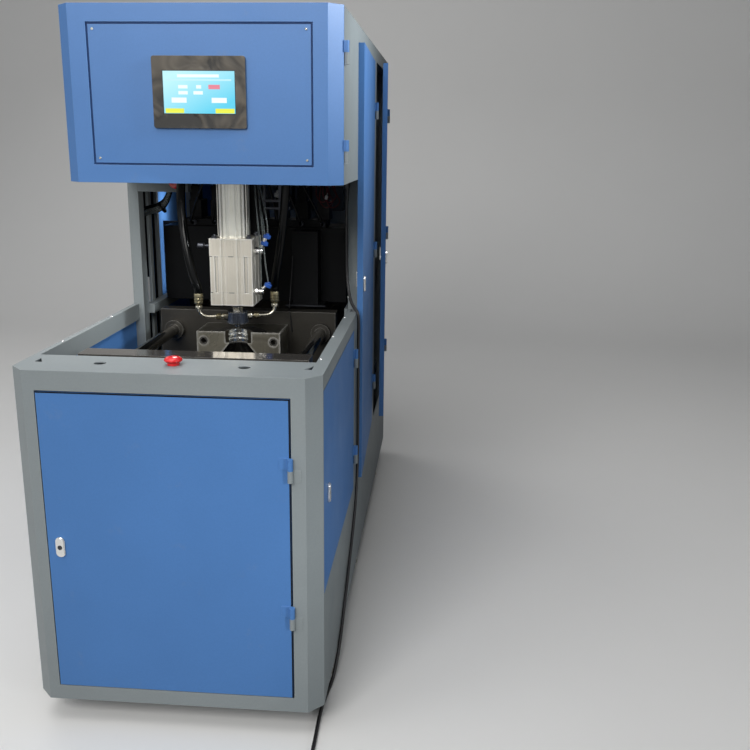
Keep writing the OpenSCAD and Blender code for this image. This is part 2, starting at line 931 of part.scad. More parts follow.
module stretch_cylinder() {
  color([0.74, 0.73, 0.7]) place()
    difference() {
      translate([0, blow_y, seal_top])
        linear_extrude(stretch_top - seal_top)
          profile(stretch_w, 12, 4.5, 24.5, 4);
      rod_z(0, blow_y, seal_top - 5, stretch_top - 6, stretch_r + slide_play);
    }
}

module cylinder_bracket() {
  color(black) place() {
    box(-in_x, in_x, col_y + 3, col_y + 37, plate_z - 30, plate_z + 20);
    box(-50, 50, seal_y + seal_w, seal_y + seal_w + 12, seal_z + 10, plate_z + 20);
    box(-50, 50, seal_y + seal_w + 11, col_y + 4, plate_z - 30, plate_z + 20);
    difference() {
      box(-155, 155, 612, seal_y + seal_w + 1, plate_z, plate_z + plate_t);
      box(-stretch_w / 2 - 0.5, stretch_w / 2 + 0.5, 605, blow_y + stretch_w / 2 + 0.5,
        plate_z - 5, plate_z + plate_t + 5);
    }
    both_sides()
      rod_z(hose_top_x, blow_y, plate_z - 16, plate_z + 1, hose_r + 3);
  }
}

// Hoses: each stands on a ferrule of the nozzle and ends at the bracket

module air_hoses() {
  color(black) place()
    for (a = [0, 180])
      translate([0, blow_y, 0])
        rotate(a)
          tube_along(curve(hose_route, 3), hose_r, 14, [0, 1, 0]);
}

module seal_nozzle() {
  color(dark_steel) place()
    translate([0, blow_y, 0])
      difference() {
        union() {
          rotate_extrude()
            polygon([[0, nozzle_z], [nozzle_r - 6, nozzle_z], [nozzle_r, nozzle_z + 4],
              [nozzle_r, nozzle_z + nozzle_h - 2], [nozzle_r - 2, nozzle_z + nozzle_h],
              [shank_r, nozzle_z + nozzle_h], [shank_r, seal_top - 32], [0, seal_top - 32]]);
          translate([0, 0, nozzle_z + nozzle_h - fuse])
            cylinder(h = nut_h, r = nut_r, $fn = 6);
        }
        rod_z(0, 0, nozzle_z - 5, seal_top, stretch_r + slide_play);
        for (a = [0, 180])
          rotate(nozzle_turn + a)
            box(nozzle_flat, nozzle_r + 5, -nozzle_r, nozzle_r, nozzle_z + 9, nozzle_z + nozzle_h + 5);
      }
}

module elbow_pipes() {
  color([0.75, 0.72, 0.62]) place()
    for (a = [0, 180])
      translate([0, blow_y, 0])
        rotate(nozzle_turn + a) {
          tube_along(curve(elbow_route, 3), 4.5, 12, [0, 1, 0]);
          translate([nozzle_flat, 0, fitting_z])
            rotate([0, 90, 0])
              cylinder(h = 14, r = 9, $fn = 6);
          rod_x(0, fitting_z, nozzle_flat + 16, nozzle_flat + 26, 6.5);
          rod_z(ferrule_r, 0, ferrule_z0, ferrule_z1, hose_r + 1);
        }
}

module stretch_rod() {
  color([0.8, 0.8, 0.8]) place() {
    rod_z(0, blow_y, nozzle_z - 4, stretch_top - 12, stretch_r);
    translate([0, blow_y, nozzle_z - 4])
      sphere(r = stretch_r);
  }
}

// Air controls beside the seal cylinder

module controller_bodies() {
  color([0.8, 0.8, 0.8]) place()
    for (c = controller_zs) {
      rod_x(controller_y, c[0], seal_w / 2, seal_w / 2 + 8, 6);
      box(seal_w / 2 + 7, c[1] + 6, controller_y - 7, controller_y + 7, c[0] - 7, c[0] + 7);
      rod_z(c[1], controller_y, c[0] + 6, c[0] + 12, 6);
    }
}

module controller_heads() {
  color([0.2, 0.35, 0.85]) place()
    for (c = controller_zs) {
      rod_z(c[1], controller_y, c[0] + 12, c[0] + 24, 7);
      rod_z(c[1], controller_y, c[0] + 23, c[0] + 27, 5.5);
    }
}

module air_tubes() {
  color([0.8, 0.85, 0.85]) place()
    for (i = [0, 1]) {
      x = controller_zs[i][1];
      z = controller_zs[i][0] + 27;
      top_x = x - 38 - 4 * i;
      top_y = blow_y + 6 + 14 * i;
      tube_along(curve([[x, controller_y, z], [x, controller_y, z + 5],
        [x, controller_y, z + 11], [x - 1, controller_y + 2 + 8 * i, z + 32],
        [x - 10, blow_y - 8 + 14 * i, z + 75], [top_x + 6, top_y, z + 150],
        [top_x, top_y, plate_z - 40], [top_x, top_y, plate_z - 8],
        [top_x, top_y, plate_z]], 4), 3, 8, [0, 1, 0]);
    }
}

module valve_box() {
  low = belt_z + tube;
  high = low + valve_h;
  side = belt_x - 31;
  color(black) place() {
    box(-side, side, valve_y, valve_y + valve_l, low, high);
    box(regulator_x - regulator_w / 2, regulator_x + regulator_w / 2, valve_y - regulator_l,
      valve_y + 1, low, high - 4);
    box(regulator_x - regulator_w / 2 - 16, regulator_x + regulator_w / 2 + 16,
      valve_y - regulator_l - 10, valve_y + 1, low, low + 4);
    box(-col_out, belt_x, valve_y + valve_l - 1, valve_y + valve_l + 9, low, high);
  }
}

module air_tank() {
  color([0.25, 0.3, 0.36]) place() {
    translate([0, tank_y, tank_z])
      rotate([0, 90, 0])
        rotate_extrude()
          polygon(concat([[0, -tank_l - 40]],
            [for (a = [10 : 10 : 90]) [tank_r * sin(a), -tank_l - 40 * cos(a)]],
            [for (a = [90 : -10 : 10]) [tank_r * sin(a), tank_l + 40 * cos(a)]],
            [[0, tank_l + 40]]));
    for (x = [-150, 130])
      difference() {
        box(x, x + 20, tank_y - 95, tank_y + 95, ring_z + tube_w, tank_z - 20);
        rod_x(tank_y, tank_z, x - 5, x + 25, tank_r - fuse);
      }
  }
}

module electrics_plate() {
  color([0.7, 0.72, 0.72]) place() {
    box(-half + 65, half - 65, plate_y, plate_y + sheet, plate_low, plate_low + plate_h);
    for (x = [-half + 85, half - 85])
      for (z = [plate_low + 20, plate_low + plate_h - 20])
        rod_y(x, z, plate_y + sheet - 1, body_l - sheet, 7);
  }
}

module contactors() {
  color([0.25, 0.26, 0.28]) place() {
    for (x = [-switch_x : 62 : switch_x - 80])
      box(x, x + 50, plate_y - 80, plate_y, plate_low + 400, plate_low + 485);
    for (x = [-switch_x : 24 : switch_x - 20])
      box(x, x + 20, plate_y - 55, plate_y, plate_low + 260, plate_low + 330);
    box(-switch_x, -switch_x + 240, plate_y - 95, plate_y, plate_low + 60, plate_low + 180);
    box(switch_x - 120, switch_x + 10, plate_y - 75, plate_y, plate_low + 60, plate_low + 200);
  }
}

// Doors: a skin with folded edges
module folded_door_y(x0, x1, z0, z1) {
  difference() {
    box(x0, x1, 0, door_fold, z0, z1);
    box(x0 + lip, x1 - lip, lip, door_fold + 5, z0 + lip, z1 - lip);
  }
}

module oval(r) {
  hull()
    for (y = [-12, 12])
      translate([0, y])
        circle(r = r, $fn = 32);
}

// Quarter-turn lock seen from outside: a grip, its shaft and the cam behind the skin
module quarter_lock() {
  cam_z = -door_fold - 4;
  difference() {
    union() {
      translate([0, 0, 0.3])
        linear_extrude(3)
          oval(grip_r);
      translate([0, 0, 3])
        linear_extrude(lock_out - 3)
          oval(grip_r - 1.5);
    }
    translate([0, 0, lock_out - 2])
      cylinder(h = 5, r = 5);
  }
  translate([0, 0, cam_z])
    cylinder(h = 1 - cam_z, r = lock_shaft_r);
  translate([-8, -8, cam_z])
    cube([16, 40, 3]);
}

module front_door() {
  color(blue) place() {
    difference() {
      folded_door_y(door_x0, door_x1, door_z0, door_z1);
      rod_y(front_lock_x, front_lock_z, -5, 10, lock_shaft_r + 0.1);
    }
    for (z = front_hinge_zs) {
      upper_knuckle(front_hinge[0], front_hinge[1], z);
      difference() {
        union() {
          box(front_hinge[0] - leaf_w - 3, front_hinge[0] - 1, -leaf_t, 0.5,
            z + knuckle_h + hinge_gap, z + 2 * knuckle_h);
          box(front_hinge[0] - knuckle_r, front_hinge[0] - 1, front_hinge[1], 0.5,
            z + knuckle_h + hinge_gap, z + 2 * knuckle_h);
        }
        rod_z(front_hinge[0], front_hinge[1], z, z + 3 * knuckle_h, knuckle_r - 1);
      }
    }
  }
}

module front_lock() {
  color([0.85, 0.85, 0.85]) place()
    translate([front_lock_x, 0, front_lock_z])
      rotate([90, 0, 0])
        quarter_lock();
}

// Door on the right side, hinged at its rear edge
module side_leaf_door(y0, y1, z0, z1, hinge_y, zs, lock_y, lock_z) {
  difference() {
    union() {
      box(half - lip, half, y0, y1, z0, z1);
      box(half - door_fold, half, y0, y0 + lip, z0, z1);
      box(half - door_fold, half, y1 - lip, y1, z0, z1);
    }
    rod_x(lock_y, lock_z, half - 10, half + 5, lock_shaft_r + 0.1);
  }
  for (z = zs)
    door_knuckle(hinge_y, z);
}

module side_lock_at(y, z) {
  translate([half, y, z])
    rotate([90, 0, 90])
      quarter_lock();
}

module side_door() {
  color(blue) place()
    side_leaf_door(base_panel_y, front_post_y - 4, skirt_z + 2, base_z - rail_h - 2, side_hinge_y,
      side_hinge_zs, side_lock_y, side_lock_z);
}

module side_lock() {
  color([0.85, 0.85, 0.85]) place()
    side_lock_at(side_lock_y, side_lock_z);
}

// Turns a rear door about its hinge, as far as it stands open at rest
module ajar(angle, y) {
  translate([hinge_x, y, 0])
    rotate(angle)
      translate([-hinge_x, -y, 0])
        children();
}

module cabinet_door_1() {
  color(blue) place()
    ajar(ajar_1, door_1_hinge_y)
      side_leaf_door(door_1_y, post_1_y - 3, skirt_z + 2, door_top, door_1_hinge_y,
        cabinet_hinge_zs, door_1_y + door_lock_in, door_lock_z);
}

module cabinet_lock_1() {
  color([0.85, 0.85, 0.85]) place()
    ajar(ajar_1, door_1_hinge_y)
      side_lock_at(door_1_y + door_lock_in, door_lock_z);
}

module cabinet_door_2() {
  color(blue) place()
    ajar(ajar_2, door_2_hinge_y)
      side_leaf_door(post_1_y + post_1_l + 2, post_2_y - 3, skirt_z + 2, door_top, door_2_hinge_y,
        cabinet_hinge_zs, post_1_y + post_1_l + door_lock_in, door_lock_z);
}

module cabinet_lock_2() {
  color([0.85, 0.85, 0.85]) place()
    ajar(ajar_2, door_2_hinge_y)
      side_lock_at(post_1_y + post_1_l + door_lock_in, door_lock_z);
}

// Head cover with the control panel
module head_cover() {
  color(blue) place() {
    difference() {
      union() {
        translate([0, head_y, 0]) {
          bent_sheet(cover_l, lip, head_z, top_z);
          for (z = [head_z, top_z - lip])
            translate([0, 0, z])
              linear_extrude(lip)
                difference() {
                  front_plan(cover_l - 4);
                  translate([-half + 60, 18])
                    square([body_w - 120, 60]);
                }
        }
        box(panel_x0 - 14, panel_x0 + panel_w + 14, head_y + 1, head_y + 4.5,
          panel_z0 - 14, panel_z0 + panel_h + 14);
      }
      box(panel_x0 - door_gap, panel_x0 + panel_w + door_gap, head_y - 5, head_y + 10,
        panel_z0 - door_gap, panel_z0 + panel_h + door_gap);
    }
    for (z = head_hinge_zs) {
      upper_knuckle(hinge_x, head_hinge_y, z);
      difference() {
        side_leaf_plate(head_hinge_y, z + knuckle_h + hinge_gap, z + 2 * knuckle_h, -0.4);
        rod_z(hinge_x, head_hinge_y, z, z + 3 * knuckle_h, knuckle_r - 1);
      }
    }
  }
}

module hmi_panel() {
  color(blue) place()
    difference() {
      union() {
        box(panel_x0, panel_x0 + panel_w, head_y + 0.5, head_y + 5, panel_z0, panel_z0 + panel_h);
        box(panel_x0 - 10, panel_x0 + panel_w + 10, head_y + 4.5, head_y + 6.5,
          panel_z0 - 10, panel_z0 + panel_h + 10);
      }
      box(screen_x - bezel_w / 2 + 8, screen_x + bezel_w / 2 - 8, head_y - 5, head_y + 10,
        panel_mid_z - bezel_h / 2 + 8, panel_mid_z + bezel_h / 2 - 8);
      for (x = [panel_x0 + 12, panel_x0 + panel_w - 12])
        for (z = [panel_z0 + 12, panel_z0 + panel_h - 12])
          rod_y(x, z, head_y - 5, head_y + 10, 2.2);
    }
}

module hmi_bezel() {
  color(black) place()
    difference() {
      union() {
        translate([screen_x, head_y + 0.5, panel_mid_z])
          rotate([90, 0, 0])
            linear_extrude(bezel_out)
              offset(r = 5, $fn = 24)
                square([bezel_w - 10, bezel_h - 10], center = true);
        box(screen_x - bezel_w / 2 + 9, screen_x + bezel_w / 2 - 9, head_y, head_y + 34,
          panel_mid_z - bezel_h / 2 + 9, panel_mid_z + bezel_h / 2 - 9);
      }
      box(screen_x - screen_w / 2, screen_x + screen_w / 2, head_y - 20, head_y - bezel_out + 4.5,
        panel_mid_z - screen_h / 2, panel_mid_z + screen_h / 2);
    }
}

module hmi_screen() {
  front = head_y + 0.5 - bezel_out;
  color([0.3, 0.75, 0.9]) place()
    box(screen_x - screen_w / 2, screen_x + screen_w / 2, front + screen_depth, front + 4,
      panel_mid_z - screen_h / 2, panel_mid_z + screen_h / 2);
}

// Free cable
module cable() {
  color(black) place() {
    tube_along(curve(cable_points, 3), cable_r, 8, [1, 0, 0]);
    tube_along(curve([[tail_x, coil_y, tail_z], [tail_x, coil_y - 12, tail_z],
      [tail_x, coil_y - 34, (tail_z + 4.2) / 2], [tail_x, coil_y - 56, 4.2],
      [tail_x, coil_y - plug_gap, 4.2]], 3), cable_r, 8, [1, 0, 0]);
  }
}

module cable_coil() {
  inner = coil_r - coil_pitch - cable_r;
  outer = coil_r + coil_pitch + cable_r;
  color(black) place()
    translate([coil_x, coil_y, 0])
      rotate_extrude()
        polygon([[inner, 2], [inner + 2, 0], [outer - 2, 0], [outer, 2], [outer, tail_z + 2],
          [outer - 2, tail_z + 4], [inner + 7, tail_z + 4], [inner, tail_z - 3]]);
}

module cable_plug() {
  color(black) place()
    translate([tail_x, coil_y - plug_gap, 0]) {
      difference() {
        translate([0, -plug_l / 2, 0])
          linear_extrude(20)
            offset(r = 6, $fn = 24)
              square([20, plug_l - 12], center = true);
        translate([0, 1, 4.2])
          rotate([90, 0, 0])
            cylinder(h = 2, r = cable_r);
      }
      for (x = [-9, 9])
        translate([x, -plug_l - 18, 10])
          rotate([-90, 0, 0])
            cylinder(h = 20, r = 2.4);
    }
}

module cable_gland() {
  color(black) place()
    difference() {
      union() {
        rod_z(cable_points[0][0], cable_points[0][1], 1090, 1106, 9);
        rod_z(cable_points[0][0], cable_points[0][1], 1100, head_z + sheet, 11.5);
      }
      rod_z(cable_points[0][0], cable_points[0][1], 1085, cable_points[0][2], cable_r);
    }
}

base_front();
base_frame();
side_rails();
lower_skirts();
columns();
cabinet_frame();
cabinet_top();
rear_panel();
left_panels();
head_sides();
frame_hinges();
levelling_feet();
stop_block();
clamp_bed();
fixed_platen();
rear_mould_half();
rear_neck_ring();
slide_bushes();
base_plug();
clamp_cylinder();
cylinder_bracket();
seal_cylinder();
stretch_cylinder();
valve_box();
air_tank();
electrics_plate();
contactors();
air_tubes();
controller_bodies();
controller_heads();
air_hoses();
cable();
cable_coil();
cable_plug();
cable_gland();
moving_platen();
front_mould_half();
front_neck_ring();
guide_pins();
tie_bars();
tie_bar_nuts();
crosshead();
clamp_rod();
seal_nozzle();
elbow_pipes();
stretch_rod();
front_door();
front_lock();
side_door();
side_lock();
cabinet_door_1();
cabinet_lock_1();
cabinet_door_2();
cabinet_lock_2();
head_cover();
hmi_panel();
hmi_bezel();
hmi_screen();
stop_button();
upper_button();
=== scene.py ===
import math

import bpy
from mathutils import Matrix, Vector


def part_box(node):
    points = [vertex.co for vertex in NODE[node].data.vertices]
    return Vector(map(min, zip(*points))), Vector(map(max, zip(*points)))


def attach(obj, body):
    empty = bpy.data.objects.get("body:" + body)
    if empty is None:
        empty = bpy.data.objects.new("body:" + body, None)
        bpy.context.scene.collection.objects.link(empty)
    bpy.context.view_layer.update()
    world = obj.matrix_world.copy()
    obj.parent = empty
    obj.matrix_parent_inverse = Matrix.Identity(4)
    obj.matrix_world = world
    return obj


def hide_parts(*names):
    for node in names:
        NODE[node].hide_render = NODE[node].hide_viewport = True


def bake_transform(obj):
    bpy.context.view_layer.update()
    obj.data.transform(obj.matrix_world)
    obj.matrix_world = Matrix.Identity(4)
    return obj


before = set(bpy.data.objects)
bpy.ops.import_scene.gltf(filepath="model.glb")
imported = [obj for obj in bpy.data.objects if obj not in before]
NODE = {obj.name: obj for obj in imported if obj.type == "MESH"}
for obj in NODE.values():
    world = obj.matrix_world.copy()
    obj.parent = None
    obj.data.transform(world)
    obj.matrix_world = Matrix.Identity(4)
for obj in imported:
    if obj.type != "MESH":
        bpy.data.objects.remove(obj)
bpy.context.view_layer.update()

OX, OY = 19.5913, 887.625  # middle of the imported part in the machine's millimetres
AXIS_Y = 634  # upright axis of the blowing head, at X 0
PORT_Y = 614  # ports of its lower cylinder
CAVITY_REACH = 73.5  # round the axis of a mould half, the faces that are polished
FRONT_MOULD_Y = 381  # parting plane of the front mould half, drawn open
NOZZLE_TURN = math.radians(18)
DECK_Z = 772
WALL_X = -301.6  # inner face of the left wall
PHOTO_SIDE = 750  # pixels


def P(x, y, z):
    """A point in the machine's millimetres as metres in the row frame."""
    return Vector(((x - OX) / 1000, (y - OY) / 1000, z / 1000))


def link(thing):
    """The object, put into the scene."""
    bpy.context.scene.collection.objects.link(thing)
    return thing


def make_camera():
    """The photo's camera, fitted to its edges."""
    yaw, pitch, roll = (math.radians(a) for a in (4.3768, 14.7034, 0.6397))
    fwd = Vector((-math.sin(yaw) * math.cos(pitch), math.cos(yaw) * math.cos(pitch),
                  -math.sin(pitch)))
    right = Vector((math.cos(yaw), math.sin(yaw), 0))
    up = right.cross(fwd)
    r = math.cos(roll) * right + math.sin(roll) * up
    u = -math.sin(roll) * right + math.cos(roll) * up
    at = Vector((0.50790, -2.47225, 1.20015))
    cam = link(bpy.data.objects.new("camera", bpy.data.cameras.new("camera")))
    cam.matrix_world = Matrix(((r.x, u.x, -fwd.x, at.x), (r.y, u.y, -fwd.y, at.y),
                               (r.z, u.z, -fwd.z, at.z), (0, 0, 0, 1)))
    focal_pixels, sensor = 886.61, 36
    cam.data.sensor_width = sensor
    cam.data.lens = focal_pixels / PHOTO_SIDE * sensor
    cam.data.clip_start, cam.data.clip_end = 0.05, 60
    bpy.context.scene.camera = cam


class Nodes:
    """Tools that add nodes to a tree."""

    def __init__(self, tree):
        self.tree = tree

    def node(self, kind, **settings):
        made = self.tree.nodes.new(kind)
        for key, value in settings.items():
            setattr(made, key, value)
        return made

    def put(self, socket, value):
        if isinstance(value, bpy.types.NodeSocket):
            self.tree.links.new(value, socket)
        elif value is not None:
            socket.default_value = value

    def math(self, kind, a, b=0.0):
        n = self.node("ShaderNodeMath", operation=kind)
        self.put(n.inputs[0], a)
        self.put(n.inputs[1], b)
        return n.outputs[0]

    def background_rays(self):
        """1 for the rays that may see the pale background: camera, glossy and transmission rays."""
        path = self.node("ShaderNodeLightPath")
        bounced = self.math("MAXIMUM", path.outputs["Is Glossy Ray"],
                            path.outputs["Is Transmission Ray"])
        return self.math("MAXIMUM", path.outputs["Is Camera Ray"], bounced)


class Paint(Nodes):
    """A node material under construction."""

    def __init__(self, name):
        self.mat = bpy.data.materials.new(name)
        self.mat.use_nodes = True
        super().__init__(self.mat.node_tree)
        self.bsdf = self.tree.nodes["Principled BSDF"]
        self.coord = self.node("ShaderNodeTexCoord").outputs["Object"]

    def axis(self, source, axis):
        """The X, Y or Z part of a vector."""
        n = self.node("ShaderNodeSeparateXYZ")
        self.put(n.inputs[0], source)
        return n.outputs[axis]

    def facing(self, axis):
        """The X, Y or Z part of the normal."""
        return self.axis(self.node("ShaderNodeNewGeometry").outputs["Normal"], axis)

    def scaled(self, sx, sy, sz, source=None):
        n = self.node("ShaderNodeMapping")
        self.put(n.inputs["Vector"], source or self.coord)
        n.inputs["Scale"].default_value = (sx, sy, sz)
        return n.outputs["Vector"]

    def noise(self, scale, detail=3.0, rough=0.55, vector=None, distortion=0.0):
        n = self.node("ShaderNodeTexNoise")
        self.put(n.inputs["Vector"], vector or self.coord)
        n.inputs["Scale"].default_value = scale
        n.inputs["Detail"].default_value = detail
        n.inputs["Roughness"].default_value = rough
        n.inputs["Distortion"].default_value = distortion
        return n.outputs["Fac"]

    def range(self, value, a, b, c, d):
        n = self.node("ShaderNodeMapRange")
        self.put(n.inputs["Value"], value)
        for key, number in zip(("From Min", "From Max", "To Min", "To Max"), (a, b, c, d)):
            n.inputs[key].default_value = number
        return n.outputs["Result"]

    def mix(self, fac, a, b):
        n = self.node("ShaderNodeMix", data_type="RGBA")
        self.put(n.inputs["Factor"], fac)
        self.put(n.inputs["A"], a if isinstance(a, bpy.types.NodeSocket) else (*a, 1))
        self.put(n.inputs["B"], b if isinstance(b, bpy.types.NodeSocket) else (*b, 1))
        return n.outputs["Result"]

    def blend(self, fac, a, b):
        n = self.node("ShaderNodeMix", data_type="FLOAT")
        self.put(n.inputs["Factor"], fac)
        self.put(n.inputs["A"], a)
        self.put(n.inputs["B"], b)
        return n.outputs["Result"]

    def edges(self, radius):
        """1 on sharp edges and 0 on flats."""
        bevel = self.node("ShaderNodeBevel", samples=4)
        bevel.inputs["Radius"].default_value = radius
        geometry = self.node("ShaderNodeNewGeometry")
        dot = self.node("ShaderNodeVectorMath", operation="DOT_PRODUCT")
        self.tree.links.new(bevel.outputs["Normal"], dot.inputs[0])
        self.tree.links.new(geometry.outputs["Normal"], dot.inputs[1])
        return self.range(dot.outputs["Value"], 0.99, 0.85, 0.0, 1.0)

    def hollows(self, reach):
        """1 deep in grooves and corners and 0 on open faces."""
        shade_in = self.node("ShaderNodeAmbientOcclusion", samples=6, only_local=True)
        shade_in.inputs["Distance"].default_value = reach
        return self.range(shade_in.outputs["AO"], 0.95, 0.5, 0.0, 1.0)

    def bump(self, height, strength, distance=0.001):
        n = self.node("ShaderNodeBump")
        self.put(n.inputs["Height"], height)
        n.inputs["Strength"].default_value = strength
        n.inputs["Distance"].default_value = distance
        self.tree.links.new(n.outputs["Normal"], self.bsdf.inputs["Normal"])

    def set(self, **values):
        names = {"color": "Base Color", "metal": "Metallic", "rough": "Roughness",
                 "coat": "Coat Weight", "coat_rough": "Coat Roughness", "ior": "IOR",
                 "spec": "Specular IOR Level", "trans": "Transmission Weight",
                 "glow": "Emission Strength", "glow_color": "Emission Color"}
        for key, value in values.items():
            if key in ("color", "glow_color") and not isinstance(value, bpy.types.NodeSocket):
                value = (*value, 1)
            self.put(self.bsdf.inputs[names[key]], value)
        return self.mat


def lin(r, g, b):
    """A screen colour of 0 to 255 as linear light."""
    return tuple((c / 255 / 12.92) if c <= 10 else ((c / 255 + 0.055) / 1.055) ** 2.4
                 for c in (r, g, b))


def shade(colour, factor):
    """A linear colour made lighter or darker."""
    return tuple(min(1.0, x * factor) for x in colour)


def powder_coat(name, base, wear, rough=0.42, gloss=0.16):
    """Sprayed sheet metal, satin on the front, the back and the top. On the sides its sheen is
    turned down, which paints shade there.
    """
    p = Paint(name)
    # Painted shade: the sheen falls from gloss to 0.02 on faces that look sideways, so the sides
    # read darker.
    spec = p.range(p.math("ABSOLUTE", p.facing("X")), 0.8, 0.95, gloss, 0.02)
    cloud = p.noise(2.3, 4.0, 0.6)
    grain = p.noise(260, 2.0)
    tone = p.mix(p.range(cloud, 0.3, 0.7, 0, 1), shade(base, 0.93), shade(base, 1.05))
    tone = p.mix(p.range(grain, 0.35, 0.65, 0, 0.18), tone, shade(base, 0.8))
    dust = p.range(p.noise(14, 5.0, 0.7), 0.62, 0.8, 0, 0.16)
    tone = p.mix(dust, tone, lin(150, 146, 138))
    edge = p.math("MULTIPLY", p.edges(0.0022), p.range(p.noise(40, 4.0), 0.3, 0.62, 0.25, 1.0))
    tone = p.mix(p.math("MULTIPLY", edge, 0.45), tone, wear)
    orange_peel = p.math("ADD", p.noise(420, 2.0), p.math("MULTIPLY", p.noise(90, 2.0), 0.6))
    p.bump(orange_peel, 0.09, 0.0006)
    satin = p.range(p.noise(5, 4.0), 0.3, 0.7, rough - 0.06, rough + 0.09)
    return p.set(color=tone, rough=satin, spec=spec)


def dark_paint(name, base, rough):
    """Black or dark enamel, mottled and a little paler on its edges."""
    p = Paint(name)
    tone = p.mix(p.noise(8, 5.0, 0.7), shade(base, 0.7), shade(base, 1.35))
    tone = p.mix(p.math("MULTIPLY", p.edges(0.002), 0.5), tone, shade(base, 3.0))
    p.bump(p.noise(300, 3.0), 0.12, 0.0006)
    roughness = p.range(p.noise(12, 4.0), 0.3, 0.7, rough - 0.12, rough + 0.12)
    return p.set(color=tone, rough=roughness, spec=0.14)


def split_plane(p, y):
    """1 on the faces of a mould piece that lie on its parting plane."""
    off = p.math("ABSOLUTE", p.math("SUBTRACT", p.axis(p.coord, "Y"), P(0, y, 0).y))
    return p.math("LESS_THAN", off, 0.0004)


def near_axis(p, y, radius):
    """1 within radius of the upright axis at Y."""
    at = p.node("ShaderNodeVectorMath", operation="SUBTRACT")
    p.put(at.inputs[0], p.coord)
    at.inputs[1].default_value = P(0, y, 0)
    flat = p.node("ShaderNodeVectorMath", operation="MULTIPLY")
    p.put(flat.inputs[0], at.outputs["Vector"])
    flat.inputs[1].default_value = (1, 1, 0)
    size = p.node("ShaderNodeVectorMath", operation="LENGTH")
    p.put(size.inputs[0], flat.outputs["Vector"])
    return p.math("LESS_THAN", size.outputs["Value"], radius)


def machined(name, base, low, rough=0.38, streak=(1, 1, 90), wear=0.5, metal=0.85, oil=0.35,
             top=None, bore=None, bright_edge_reach=0.003):
    """Machined and used steel: tool marks, oil stains and bright edges, partly worn by rubbing and
    partly a painted highlight. top is the roughness and colour of the faces that look up, bore the
    Y of the parting plane of a mould with a polished cavity whose walls are darkened as painted
    shade, and bright_edge_reach the reach of the bright edges."""
    p = Paint(name)
    marks = p.noise(7, 5.0, 0.7, p.scaled(*streak))
    stain = p.noise(9, 6.0, 0.65, distortion=0.6)
    tone = p.mix(p.range(marks, 0.3, 0.7, 0, 1), base, shade(base, 0.8))
    tone = p.mix(p.range(stain, 0.45, 0.7, 0, oil * 2), tone, low)
    roughness = p.range(stain, 0.35, 0.7, rough - 0.1, rough + 0.18)
    if top:
        mask = p.range(p.facing("Z"), 0.8, 0.95, 0, 1)
        roughness = p.blend(mask, roughness, p.range(stain, 0.3, 0.75, top[0], top[0] + 0.1))
        tone = p.mix(p.math("MULTIPLY", mask, 0.85), tone, top[1])
    if bore:
        # Polished cavity: smoother, and darkened almost to black as painted shade.
        wall = p.math("MULTIPLY", near_axis(p, bore, CAVITY_REACH / 1000),
                      p.math("SUBTRACT", 1.0, split_plane(p, bore)))
        roughness = p.blend(wall, roughness, p.range(p.noise(14, 3.0), 0.3, 0.7, 0.12, 0.2))
        tone = p.mix(p.math("MULTIPLY", wall, 0.95), tone, lin(30, 30, 32))
    # Bright edges: partly worn by rubbing, partly a painted highlight.
    edge = p.math("MULTIPLY", p.edges(bright_edge_reach), p.range(p.noise(60, 4.0), 0.3, 0.55, 0.3, 1.0))
    tone = p.mix(p.math("MULTIPLY", edge, wear), tone, lin(222, 219, 212))
    texture = p.math("ADD", marks, p.math("MULTIPLY", p.noise(500, 2.0), 0.4))
    p.bump(texture, 0.05 if top else 0.12, 0.0005)
    return p.set(color=tone, metal=metal, rough=roughness)


def neck_steel(name, y):
    """Turned and polished neck ring, with dull parting faces."""
    p = Paint(name)
    face = split_plane(p, y)
    rings = p.noise(40, 2.0, 0.5, p.scaled(0.1, 0.1, 30))
    tone = p.mix(p.range(rings, 0.35, 0.65, 0, 1), lin(196, 196, 192), lin(222, 222, 218))
    tone = p.mix(face, tone, lin(58, 54, 46))
    p.bump(rings, 0.05, 0.0003)
    return p.set(color=tone, metal=0.95, rough=p.blend(face, 0.24, 0.45))


def chromed(name, base=(0.72, 0.72, 0.71), rough=0.16, metal=1.0):
    """Plated or polished metal with a faint uneven tone."""
    p = Paint(name)
    tone = p.mix(p.noise(30, 4.0, 0.7), shade(base, 0.84), shade(base, 1.06))
    p.bump(p.noise(700, 2.0), 0.04, 0.0004)
    roughness = p.range(p.noise(24, 5.0), 0.3, 0.7, rough - 0.05, rough + 0.12)
    return p.set(color=tone, metal=metal, rough=roughness)


